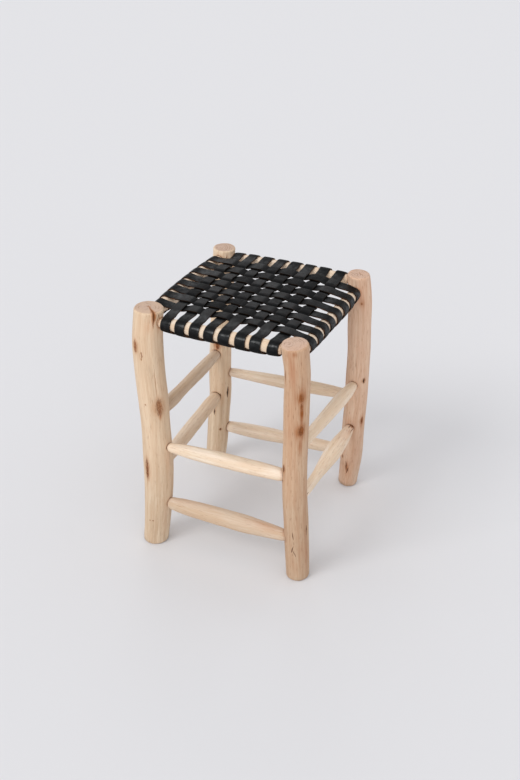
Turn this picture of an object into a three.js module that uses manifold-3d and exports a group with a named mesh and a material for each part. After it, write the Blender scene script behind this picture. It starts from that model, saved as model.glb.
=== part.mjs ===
// Moroccan kursi stool: four peeled branches for legs, whittled rails and stretchers let into blind
// mortises, and a plain-weave seat of leather straps turned round the four seat rails.
// Millimetres, +Z up, +X to the right along the front, +Y to the back. The origin is on the floor
// under the middle of the stool.
import * as THREE from 'three';
import { mergeVertices } from 'three/addons/utils/BufferGeometryUtils.js';
import Module from 'manifold-3d';

// Driving dimensions
const standHeight = 450;
const headWidth = 258;
const headDepth = 260;
const footWidth = 267;
const footDepth = 293;
const stretcherRadius = 13;
const railRadius = 10.9;
const strapWidth = 18;
const strapThickness = 2;

// Fits and small sizes
const jointClearance = 0.3;
const strapClearance = 0.3;
const rimRounding = 3.5;
const footRounding = 4;
const tenonChamfer = 1.5;
const tenonStandoff = 4;
const railTenonStandoff = 11;
const tailSlant = 6;
const tailSpread = 5;

// Angles
const bowHeading = THREE.MathUtils.degToRad(24);
const quarterTurn = Math.PI / 2;
const tailTurn = THREE.MathUtils.degToRad(38);
const slideStart = THREE.MathUtils.degToRad(115);

// How finely the round forms are divided
const legSides = 18;
const legLevels = 12;
const roundingSteps = 2;
const spindleSides = 14;
const spindleLevels = 8;
const wrapSteps = 8;
const tailSteps = 2;

// Each leg's foot and head lie at shares of the footprint and of the seat frame. Its bow, sideways
// from the straight line, and its girth are shares of its own radius, evenly spaced from foot to head.
const legForms = {
  front_left: {
    radius: 24.5,
    footShares: [-0.489, -0.505],
    headShares: [-0.517, -0.469],
    bowShares: [0, 0.187, 0.323, 0.333, 0.25, 0.135, -0.031, -0.125, 0.021],
    girthShares: [0.89, 0.92, 0.98, 1.015, 0.995, 1.015, 0.985, 0.99, 0.98],
    ovalShare: 0.02,
    ovalTurnShare: 0.1,
  },
  front_right: {
    radius: 19.9,
    footShares: [0.514, -0.468],
    headShares: [0.481, -0.55],
    bowShares: [0, -0.022, -0.076, -0.14, -0.097, 0.032, 0.13, 0.14, 0.054],
    girthShares: [0.995, 1.005, 1.01, 1.01, 1.015, 1.01, 1.01, 1.01, 1.08],
    ovalShare: 0.025,
    ovalTurnShare: 0.35,
  },
  back_right: {
    radius: 20.7,
    footShares: [0.472, 0.5],
    headShares: [0.519, 0.489],
    bowShares: [-0.031, 0.133, 0.179, 0.256, 0.307, 0.297, 0.236, 0.164, -0.087],
    girthShares: [0.86, 0.98, 0.99, 1, 1.02, 0.97, 0.98, 0.985, 0.965],
    ovalShare: 0.02,
    ovalTurnShare: 0.6,
  },
  back_left: {
    radius: 20.4,
    footShares: [-0.532, 0.41],
    headShares: [-0.466, 0.512],
    bowShares: [0, 0.148, 0.163, 0.158, 0.053, -0.032, -0.032, -0.011, 0],
    girthShares: [0.945, 0.995, 0.995, 1.03, 0.99, 0.945, 0.945, 0.955, 0.975],
    ovalShare: 0.025,
    ovalTurnShare: 0.85,
  },
};

// A rail or stretcher runs from one leg to the next. Its two ends are at shares of the stool's
// height, and its girth, evenly spaced between the faces of the two legs, is in shares of its radius.
const railForms = {
  front: {
    from: 'front_left', to: 'front_right', heightShares: [0.9475, 0.9705],
    girthShares: [0.8, 0.97, 0.99, 1, 0.99, 0.97, 0.8],
  },
  back: {
    from: 'back_left', to: 'back_right', heightShares: [0.956, 0.9645],
    girthShares: [0.8, 0.97, 0.99, 1, 0.99, 0.97, 0.8],
  },
  left: {
    from: 'front_left', to: 'back_left', heightShares: [0.96, 0.96],
    girthShares: [0.8, 1.02, 1.12, 1.14, 1.12, 1, 0.8],
  },
  right: {
    from: 'front_right', to: 'back_right', heightShares: [0.9475, 0.937],
    girthShares: [0.8, 0.97, 0.99, 1, 0.99, 0.97, 0.8],
  },
};

const frontStretcherOffset = 4.5;
const stretcherForms = {
  front_upper: {
    from: 'front_left', to: 'front_right', heightShares: [0.439, 0.46], outset: frontStretcherOffset,
    girthShares: [0.6, 0.85, 0.94, 0.98, 0.97, 0.955, 0.84],
  },
  front_lower: {
    from: 'front_left', to: 'front_right', heightShares: [0.189, 0.1815], outset: frontStretcherOffset,
    girthShares: [0.78, 1.06, 1.16, 1.19, 1.19, 1.01, 0.8],
  },
  back_upper: {
    from: 'back_left', to: 'back_right', heightShares: [0.4385, 0.4425], outset: 0,
    girthShares: [0.63, 0.75, 0.85, 0.93, 0.94, 0.88, 0.7],
  },
  back_lower: {
    from: 'back_left', to: 'back_right', heightShares: [0.168, 0.16], outset: 0,
    girthShares: [0.8, 0.98, 1.02, 0.92, 0.9, 0.86, 0.7],
  },
  left_upper: {
    from: 'front_left', to: 'back_left', heightShares: [0.5505, 0.535], outset: 0,
    girthShares: [0.78, 0.93, 0.86, 0.87, 0.9, 0.86, 0.72],
  },
  left_lower: {
    from: 'front_left', to: 'back_left', heightShares: [0.323, 0.335], outset: 0,
    girthShares: [0.72, 0.92, 0.98, 0.99, 0.96, 0.96, 0.78],
  },
  right_upper: {
    from: 'front_right', to: 'back_right', heightShares: [0.5655, 0.5155], outset: 0,
    girthShares: [0.66, 0.76, 0.8, 0.88, 0.92, 0.89, 0.62],
  },
  right_lower: {
    from: 'front_right', to: 'back_right', heightShares: [0.324, 0.3095], outset: 0,
    girthShares: [0.54, 0.64, 0.72, 0.98, 1.15, 0.97, 0.6],
  },
};

// Straps: warps run from front to back, wefts from left to right. Their middles lie at shares of the
// seat frame on the rail that they start from and the rail that they end on. Tail slants are shares
// of the common slant, and widths are shares of the common width.
const warpForm = {
  rails: ['front', 'back'],
  startShares: [-0.372, -0.268, -0.168, -0.067, 0.037, 0.146, 0.247, 0.36],
  endShares: [-0.349, -0.246, -0.139, -0.032, 0.068, 0.169, 0.274, 0.388],
  widthShares: [1, 1, 0.98, 0.96, 1.05, 1, 1.03, 1],
  startSlantShares: [1, 1, 1, 1, 1, 1, 1, 0.3],
  endSlantShares: [0.5, 0.5, 0.5, 0.5, 0.5, 0.5, 0.5, 0.04],
};
const weftForm = {
  rails: ['left', 'right'],
  startShares: [-0.334, -0.233, -0.143, -0.054, 0.038, 0.139, 0.249, 0.357],
  endShares: [-0.373, -0.273, -0.177, -0.077, 0.031, 0.142, 0.246, 0.362],
  widthShares: [1, 1.03, 1, 1, 1.05, 1.1, 1.08, 1.15],
  startSlantShares: [-0.2, -0.5, -0.5, -0.5, -0.5, -0.5, -0.5, -0.5],
  endSlantShares: [-0.5, -0.5, -0.5, -0.5, -0.5, -0.5, -0.5, -0.5],
};

const finishes = {
  paleBranch: new THREE.MeshStandardMaterial({ color: 0xd9b98f, roughness: 0.78, metalness: 0 }),
  pinkBranch: new THREE.MeshStandardMaterial({ color: 0xc9a184, roughness: 0.78, metalness: 0 }),
  whittledWood: new THREE.MeshStandardMaterial({ color: 0xe6cda4, roughness: 0.72, metalness: 0 }),
  blackLeather: new THREE.MeshStandardMaterial({ color: 0x232325, roughness: 0.52, metalness: 0 }),
};
const legFinishes = {
  front_left: finishes.paleBranch,
  front_right: finishes.pinkBranch,
  back_right: finishes.pinkBranch,
  back_left: finishes.paleBranch,
};

const wasm = await Module();
wasm.setup();

// Closed surfaces

// Skins a row of rings, each with the same number of points, and closes both ends.
function skin(rings) {
  const sides = rings[0].length;
  const points = rings.flat();
  const faces = [];
  for (let level = 0; level + 1 < rings.length; level += 1) {
    for (let side = 0; side < sides; side += 1) {
      const near = level * sides + side;
      const far = level * sides + ((side + 1) % sides);
      faces.push(near, far, far + sides, near, far + sides, near + sides);
    }
  }
  closeEnd(points, faces, 0, sides, true);
  closeEnd(points, faces, (rings.length - 1) * sides, sides, false);
  const geometry = new THREE.BufferGeometry().setFromPoints(points);
  geometry.setIndex(faces);
  geometry.computeVertexNormals();
  return geometry;
}

// Closes one end ring with a fan of faces round its middle.
function closeEnd(points, faces, first, sides, facesBack) {
  const middle = new THREE.Vector3();
  for (let side = 0; side < sides; side += 1) middle.add(points[first + side]);
  middle.divideScalar(sides);
  const hub = points.push(middle) - 1;
  for (let side = 0; side < sides; side += 1) {
    const here = first + side;
    const next = first + ((side + 1) % sides);
    faces.push(hub, ...(facesBack ? [next, here] : [here, next]));
  }
}

function toSolid(geometry) {
  const bare = geometry.clone();
  bare.deleteAttribute('normal');
  const merged = mergeVertices(bare);
  return new wasm.Manifold(new wasm.Mesh({
    numProp: 3,
    vertProperties: new Float32Array(merged.attributes.position.array),
    triVerts: new Uint32Array(merged.index.array),
  }));
}

function toGeometry(solid) {
  const mesh = solid.getMesh();
  const geometry = new THREE.BufferGeometry();
  geometry.setAttribute('position', new THREE.BufferAttribute(mesh.vertProperties, mesh.numProp));
  geometry.setIndex(new THREE.BufferAttribute(mesh.triVerts, 1));
  geometry.computeVertexNormals();
  return geometry;
}

// A smooth curve through evenly spaced shares, read at a share of its length.
function smoothShare(shares, t) {
  const curve = new THREE.CatmullRomCurve3(shares.map((share) => new THREE.Vector3(share)), false, 'catmullrom');
  return curve.getPoint(THREE.MathUtils.clamp(t, 0, 1)).x;
}

// Legs

function legAxis(name, height) {
  const form = legForms[name];
  const t = height / standHeight;
  const bow = smoothShare(form.bowShares, t) * form.radius;
  const x = THREE.MathUtils.lerp(form.footShares[0] * footWidth, form.headShares[0] * headWidth, t);
  const y = THREE.MathUtils.lerp(form.footShares[1] * footDepth, form.headShares[1] * headDepth, t);
  return new THREE.Vector3(x + bow * Math.cos(bowHeading), y + bow * Math.sin(bowHeading), height);
}

function legRadius(name, height) {
  const form = legForms[name];
  return smoothShare(form.girthShares, height / standHeight) * form.radius;
}

function legRing(name, height, inset) {
  const form = legForms[name];
  const centre = legAxis(name, height);
  const radius = legRadius(name, height) - inset;
  const ring = [];
  for (let side = 0; side < legSides; side += 1) {
    const angle = (side / legSides) * 2 * Math.PI;
    const oval = 1 + form.ovalShare * Math.cos(2 * (angle - form.ovalTurnShare * Math.PI));
    const reach = radius * oval;
    ring.push(new THREE.Vector3(centre.x + reach * Math.cos(angle), centre.y + reach * Math.sin(angle), height));
  }
  return ring;
}

// The heights of a leg's rings and how far each draws in: the foot and the rim are rounded over.
function legStations() {
  const lowest = [];
  for (let step = 0; step <= roundingSteps; step += 1) {
    const turn = (step / roundingSteps) * quarterTurn;
    lowest.push([footRounding * (1 - Math.cos(turn)), footRounding * (1 - Math.sin(turn))]);
  }
  const span = standHeight - footRounding - rimRounding;
  const middle = [];
  for (let level = 1; level < legLevels; level += 1) {
    middle.push([footRounding + (level / legLevels) * span, 0]);
  }
  const highest = [];
  for (let step = 0; step <= roundingSteps; step += 1) {
    const turn = (step / roundingSteps) * quarterTurn;
    highest.push([standHeight - rimRounding * (1 - Math.sin(turn)), rimRounding * (1 - Math.cos(turn))]);
  }
  return [...lowest, ...middle, ...highest];
}

function branch(name) {
  return skin(legStations().map(([height, inset]) => legRing(name, height, inset)));
}

// Rails and stretchers

// Works out where a rail or stretcher lies: its two points on the legs' axes, its direction, how far
// along it the faces of the legs are, and its girth.
function spindleLine(form, radius, girthShares, standoff) {
  const outset = form.outset ?? 0;
  const ends = [form.from, form.to].map((leg, end) => legAxis(leg, form.heightShares[end] * standHeight));
  const along = ends[1].clone().sub(ends[0]);
  const outward = new THREE.Vector3(along.y, -along.x, 0).normalize();
  ends.forEach((end) => end.addScaledVector(outward, outset));
  const length = along.length();
  const faces = [form.from, form.to].map((leg, end) => {
    const reach = legRadius(leg, form.heightShares[end] * standHeight);
    return Math.sqrt(reach * reach - outset * outset);
  });
  return {
    start: ends[0], direction: along.divideScalar(length), outward, length, radius, girthShares, standoff,
    firstFace: faces[0], lastFace: length - faces[1],
  };
}

function spindleRadius(line, distance) {
  const t = (distance - line.firstFace) / (line.lastFace - line.firstFace);
  return smoothShare(line.girthShares, t) * line.radius;
}

function spindlePoint(line, distance) {
  return line.start.clone().addScaledVector(line.direction, distance);
}

// A round bar from tip to tip, swelling between the legs, with a bevel at each tip. The same bar,
// grown all over by the clearance, cuts its mortises.
function spindle(line, growth) {
  const across = line.outward;
  const upward = across.clone().cross(line.direction).normalize();
  const firstTip = line.standoff - growth;
  const lastTip = line.length - line.standoff + growth;
  const stations = [[firstTip, tenonChamfer], [firstTip + tenonChamfer, 0]];
  for (let level = 0; level <= spindleLevels; level += 1) {
    stations.push([THREE.MathUtils.lerp(line.firstFace, line.lastFace, level / spindleLevels), 0]);
  }
  stations.push([lastTip - tenonChamfer, 0], [lastTip, tenonChamfer]);
  return skin(stations.map(([distance, inset]) => {
    const centre = spindlePoint(line, distance);
    const reach = spindleRadius(line, distance) + growth - inset;
    const ring = [];
    for (let side = 0; side < spindleSides; side += 1) {
      const angle = -(side / spindleSides) * 2 * Math.PI;
      ring.push(centre.clone()
        .addScaledVector(across, reach * Math.cos(angle))
        .addScaledVector(upward, reach * Math.sin(angle)));
    }
    return ring;
  }));
}

const railLines = {};
for (const [name, form] of Object.entries(railForms)) {
  railLines[name] = spindleLine(form, railRadius, form.girthShares, railTenonStandoff);
}
const stretcherLines = {};
for (const [name, form] of Object.entries(stretcherForms)) {
  stretcherLines[name] = spindleLine(form, stretcherRadius, form.girthShares, tenonStandoff);
}

// Straps

const layerOffset = (strapThickness + strapClearance) / 2;
const halfWrapStep = quarterTurn / wrapSteps;

// How far a layer of strap lies from a rail's axis. The turned strap is a row of flats, so its
// corners stand out a little for the middles of the flats to clear the rail.
function wrapReach(line, distance, layer) {
  return (spindleRadius(line, distance) + strapClearance + layer) / Math.cos(halfWrapStep);
}

// How far along a rail, seen from above, a point lies.
function distanceOnRail(rail, point) {
  const line = railLines[rail];
  const flat = new THREE.Vector2(line.direction.x, line.direction.y);
  const offset = new THREE.Vector2(point.x - line.start.x, point.y - line.start.y);
  return offset.dot(flat) / flat.lengthSq();
}

// The height of a strap's middle layer where it lies on top of a rail.
function topOfRail(rail, point) {
  const line = railLines[rail];
  const distance = distanceOnRail(rail, point);
  return spindlePoint(line, distance).z + wrapReach(line, distance, strapThickness / 2);
}

// Where the rail's own axis lies across the seat, as a signed distance of a point from it.
function offsetFromRail(rail, point) {
  const line = railLines[rail];
  const offset = new THREE.Vector2(point.x - line.start.x, point.y - line.start.y);
  return offset.dot(new THREE.Vector2(line.outward.x, line.outward.y));
}

// The seat's middle surface: each pair of rails gives a ruled surface, and the two are blended so
// that the seat meets every rail.
function seatHeight(point) {
  const toFront = Math.abs(offsetFromRail('front', point));
  const toBack = Math.abs(offsetFromRail('back', point));
  const toLeft = Math.abs(offsetFromRail('left', point));
  const toRight = Math.abs(offsetFromRail('right', point));
  const v = toFront / (toFront + toBack);
  const u = toLeft / (toLeft + toRight);
  const alongWarps = THREE.MathUtils.lerp(topOfRail('front', point), topOfRail('back', point), v);
  const alongWefts = THREE.MathUtils.lerp(topOfRail('left', point), topOfRail('right', point), u);
  const warpWeight = u * (1 - u);
  const weftWeight = v * (1 - v);
  return (alongWarps * warpWeight + alongWefts * weftWeight) / (warpWeight + weftWeight);
}

// A point on a rail's axis at a share of the seat frame: x for the front and back, y for the sides.
function pointOnRail(rail, place, coordinate) {
  const line = railLines[rail];
  const distance = (place - line.start[coordinate]) / line.direction[coordinate];
  return spindlePoint(line, distance);
}

// A strap seen from above: where it starts and ends, and its two straight edges.
function strapPlan(form, index, frameSize, coordinate) {
  const start = pointOnRail(form.rails[0], form.startShares[index] * frameSize, coordinate);
  const end = pointOnRail(form.rails[1], form.endShares[index] * frameSize, coordinate);
  const direction = new THREE.Vector2(end.x - start.x, end.y - start.y).normalize();
  const across = new THREE.Vector2(direction.y, -direction.x);
  const halfWidth = (form.widthShares[index] * strapWidth) / 2;
  const edges = [-halfWidth, halfWidth].map((side) => ({
    origin: new THREE.Vector2(start.x + across.x * side, start.y + across.y * side),
    direction,
  }));
  return { form, index, edges, direction, across };
}

function crossLines(first, second) {
  const turn = first.direction.cross(second.direction);
  const gap = second.origin.clone().sub(first.origin);
  const distance = gap.cross(second.direction) / turn;
  return first.origin.clone().addScaledVector(first.direction, distance);
}

function railPlanLine(rail) {
  const line = railLines[rail];
  return {
    origin: new THREE.Vector2(line.start.x, line.start.y),
    direction: new THREE.Vector2(line.direction.x, line.direction.y).normalize(),
  };
}

// A section of strap lying in the seat: two points on the edges, and half a thickness up and down.
function flatSection(points, offset) {
  const half = strapThickness / 2;
  const [near, far] = points.map((point) => new THREE.Vector3(point.x, point.y, seatHeight(point) + offset));
  return [
    near.clone().setZ(near.z - half), near.clone().setZ(near.z + half),
    far.clone().setZ(far.z + half), far.clone().setZ(far.z - half),
  ];
}

// A section turned round a rail. The turn is measured from the outward level, and the two edges
// are slid along the rail.
function wrapSection(plan, rail, outwardSign, turn, slides) {
  const line = railLines[rail];
  const [near, far] = plan.edges.map((edge, side) => (
    distanceOnRail(rail, crossLines(edge, railPlanLine(rail))) + slides[side]));
  const radial = line.outward.clone().multiplyScalar(outwardSign * Math.cos(turn)).setZ(Math.sin(turn));
  const corner = (distance, layer) => (
    spindlePoint(line, distance).addScaledVector(radial, wrapReach(line, distance, layer)));
  return [corner(near, 0), corner(near, strapThickness), corner(far, strapThickness), corner(far, 0)];
}

// The sections from the top of a rail down round its outside and under to the end of the tail. The
// tail slants along the rail: its far edge leads and the near one follows, so it is widest there.
function wrapSections(plan, rail, outwardSign, slantShare) {
  const sections = [];
  for (let step = 0; step <= wrapSteps + tailSteps; step += 1) {
    const sweep = step <= wrapSteps
      ? (step / wrapSteps) * 2 * quarterTurn
      : 2 * quarterTurn + ((step - wrapSteps) / tailSteps) * tailTurn;
    const lead = quarterTurn * Math.max(0, sweep - slideStart) / (2 * quarterTurn + tailTurn - slideStart);
    const slides = [
      slantShare * tailSlant * (1 - Math.cos(lead)),
      slantShare * (tailSlant + tailSpread) * Math.sin(lead),
    ];
    sections.push(wrapSection(plan, rail, outwardSign, quarterTurn - sweep, slides));
  }
  return sections;
}

// Sections over and under each strap that crosses this one. A warp passes over a weft where their
// numbers, counted from the front left corner, add up to an even number.
function wovenSections(plan, others, isWarp) {
  const sections = [];
  others.forEach((other) => {
    const isEven = (plan.index + other.index) % 2 === 0;
    const offset = isEven === isWarp ? layerOffset : -layerOffset;
    const crossings = other.edges.map((otherEdge) => plan.edges.map((edge) => crossLines(edge, otherEdge)));
    crossings
      .sort((first, second) => first[0].dot(plan.direction) - second[0].dot(plan.direction))
      .forEach((points) => sections.push(flatSection(points, offset)));
  });
  return sections;
}

// A whole strap. Every rail's outward side is worked out from its own direction, which is outwards
// on the front and right rails and inwards on the back and left ones.
function strap(plan, others, isWarp) {
  const { form, index } = plan;
  const first = wrapSections(plan, form.rails[0], isWarp ? 1 : -1, form.startSlantShares[index]);
  const last = wrapSections(plan, form.rails[1], isWarp ? -1 : 1, form.endSlantShares[index]);
  return skin([...first.reverse(), ...wovenSections(plan, others, isWarp), ...last]);
}

const warpPlans = warpForm.startShares.map((share, index) => strapPlan(warpForm, index, headWidth, 'x'));
const weftPlans = weftForm.startShares.map((share, index) => strapPlan(weftForm, index, headDepth, 'y'));

// Assembly

const pieces = new THREE.Group();

function addPiece(name, geometry, material) {
  const mesh = new THREE.Mesh(geometry, material);
  mesh.name = name;
  pieces.add(mesh);
}

for (const name of Object.keys(legForms)) {
  let solid = toSolid(branch(name));
  const joined = [
    ...Object.entries(railForms).map(([rail, form]) => [form, railLines[rail]]),
    ...Object.entries(stretcherForms).map(([stretcher, form]) => [form, stretcherLines[stretcher]]),
  ].filter(([form]) => form.from === name || form.to === name);
  for (const [, line] of joined) {
    solid = solid.subtract(toSolid(spindle(line, jointClearance)));
  }
  addPiece(`leg_${name}`, toGeometry(solid), legFinishes[name]);
}
for (const [name, line] of Object.entries(railLines)) {
  addPiece(`seat_rail_${name}`, spindle(line, 0), finishes.whittledWood);
}
for (const [name, line] of Object.entries(stretcherLines)) {
  addPiece(`stretcher_${name}`, spindle(line, 0), finishes.whittledWood);
}
warpPlans.forEach((plan, index) => {
  addPiece(`warp_strap_${index + 1}`, strap(plan, weftPlans, true), finishes.blackLeather);
});
weftPlans.forEach((plan, index) => {
  addPiece(`weft_strap_${index + 1}`, strap(plan, warpPlans, false), finishes.blackLeather);
});

// The stool is centred over its footprint, so that the origin lies under the middle of its box.
const extent = new THREE.Box3().setFromObject(pieces);
const middle = extent.getCenter(new THREE.Vector3());
pieces.position.set(-middle.x, -middle.y, 0);

const stool = new THREE.Group();
stool.add(pieces);

export default stool;
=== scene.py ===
"""The dressed stool: peeled branch legs, whittled sticks and a seat woven from leather straps.

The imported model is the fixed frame. This script lays a finer skin over each of its pieces, worked out
from the same driving sizes, and gives each one its finish. Sizes are in millimetres until a skin becomes
a mesh, which is in metres.
"""

import logging
import math
from dataclasses import dataclass, field
from enum import Enum

import bpy
import numpy as np
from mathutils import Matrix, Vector


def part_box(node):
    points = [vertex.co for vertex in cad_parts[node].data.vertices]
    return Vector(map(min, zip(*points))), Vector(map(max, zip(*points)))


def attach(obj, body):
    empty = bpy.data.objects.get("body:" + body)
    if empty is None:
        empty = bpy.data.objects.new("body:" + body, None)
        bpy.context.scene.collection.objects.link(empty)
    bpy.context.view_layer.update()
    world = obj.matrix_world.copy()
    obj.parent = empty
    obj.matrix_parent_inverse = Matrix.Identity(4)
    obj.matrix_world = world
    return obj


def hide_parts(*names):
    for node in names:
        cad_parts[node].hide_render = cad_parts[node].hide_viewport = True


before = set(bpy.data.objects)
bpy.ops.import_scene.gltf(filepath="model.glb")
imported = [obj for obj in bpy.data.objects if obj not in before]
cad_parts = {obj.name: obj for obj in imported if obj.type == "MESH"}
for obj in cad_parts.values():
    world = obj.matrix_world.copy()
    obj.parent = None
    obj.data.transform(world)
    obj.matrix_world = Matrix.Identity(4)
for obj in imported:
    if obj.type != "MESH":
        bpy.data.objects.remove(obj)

LOG = logging.getLogger("stool")
BODY = "root"
MM = 0.001
FULL_TURN = 2.0 * math.pi
HALF_TURN = math.pi
QUARTER_TURN = math.pi / 2.0

Pair = tuple[float, float]
Triple = tuple[float, float, float]
Rgba = tuple[float, float, float, float]
Shares = tuple[float, ...]
Socket = bpy.types.NodeSocket
Value = Socket | float | Triple | Rgba


class Finish(Enum):
    """The material slots of the record. Each leg's timber is chosen by its slot."""

    PALE_BRANCH = "pale_branch"
    PINK_BRANCH = "pink_branch"
    WHITTLED = "whittled_wood"
    LEATHER = "black_leather"


class MarkKind(Enum):
    """What a natural mark in the wood is."""

    KNOT = "knot"
    CRACK = "crack"
    FLUSH = "flush"
    STAIN = "stain"
    CHECK = "check"
    HOLLOW = "hollow"


@dataclass(frozen=True)
class Mark:
    """A natural mark on a piece of wood.

    Attributes:
        kind: What the mark is. A check is a crack that runs out from the pith over a sawn head.
        turn: Where it lies round the piece, in degrees.
        along: Its middle along the piece, or the middle of a check's run from the pith.
        half_width: Half its width round the piece.
        half_length: Half its length along the piece, or along a check's run.
        depth: How deep it goes, or how strong a flush or stain is from 0 to 1. A hollow is a broad dip.
        lean: How many degrees its upper end is turned further round than its lower end.
        darkness: How dark it is, from 0 to 1.
    """

    kind: MarkKind
    turn: float
    along: float
    half_width: float
    half_length: float
    depth: float = 0.5
    lean: float = 0.0
    darkness: float = 0.7


@dataclass(frozen=True)
class LegForm:
    """A leg's place and shape.

    Attributes:
        radius: Its common radius.
        foot_shares: Where its foot stands, as shares of the footprint's width and depth.
        head_shares: Where its head stands, as shares of the seat frame's width and depth.
        bow_shares: How far it bows aside from foot to head, as shares of its radius.
        girth_shares: Its girth from foot to head, as shares of its radius.
        oval_share: How much its section swells and shrinks.
        oval_turn_share: Which way it is widest, as a share of half a turn.
        finish: Its material slot.
        saw_tilt: The slope of its sawn head along X and Y.
        aged: How aged it is, from 0 to 1, which darkens its wood.
        marks: Its natural marks.
        head_rise: How far its sawn head rises over the common height.
    """

    radius: float
    foot_shares: Pair
    head_shares: Pair
    bow_shares: Shares
    girth_shares: Shares
    oval_share: float
    oval_turn_share: float
    finish: Finish
    saw_tilt: Pair
    aged: float
    marks: tuple[Mark, ...]
    head_rise: float = 0.0


@dataclass(frozen=True)
class StickForm:
    """A rail's or stretcher's place and shape."""

    start: str
    end: str
    height_shares: Pair
    girth_shares: Shares
    outset: float = 0.0
    marks: tuple[Mark, ...] = ()
    tip_pinches: Pair = (0.12, 0.12)
    aged: float = 0.25


@dataclass(frozen=True)
class StrapForm:
    """The straps that run one way."""

    rails: tuple[str, str]
    start_shares: Shares
    end_shares: Shares
    width_shares: Shares
    start_slant_shares: Shares
    end_slant_shares: Shares


@dataclass(frozen=True)
class StoolSizes:
    """The driving sizes, the same as the frame's, and the small ones that only the skins have."""

    height: float = 450.0
    head_width: float = 258.0
    head_depth: float = 260.0
    foot_width: float = 267.0
    foot_depth: float = 293.0
    stretcher_radius: float = 13.0
    rail_radius: float = 10.9
    strap_width: float = 18.0
    strap_thickness: float = 2.0
    strap_clearance: float = 0.3
    rim_rounding: float = 3.5
    foot_rounding: float = 4.0
    tip_length: float = 7.0
    tenon_chamfer: float = 1.5
    tenon_standoff: float = 4.0
    rail_tenon_standoff: float = 11.0
    tail_slant: float = 6.0
    tail_spread: float = 5.0
    mortise_growth: float = 0.45
    bow_heading: float = math.radians(24.0)
    tail_turn: float = math.radians(38.0)
    slide_start: float = math.radians(115.0)


SIZES = StoolSizes()
FRONT_STRETCHER_OUTSET = 4.5
KNOT, CRACK, CHECK = MarkKind.KNOT, MarkKind.CRACK, MarkKind.CHECK
FLUSH, STAIN, HOLLOW = MarkKind.FLUSH, MarkKind.STAIN, MarkKind.HOLLOW

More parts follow.
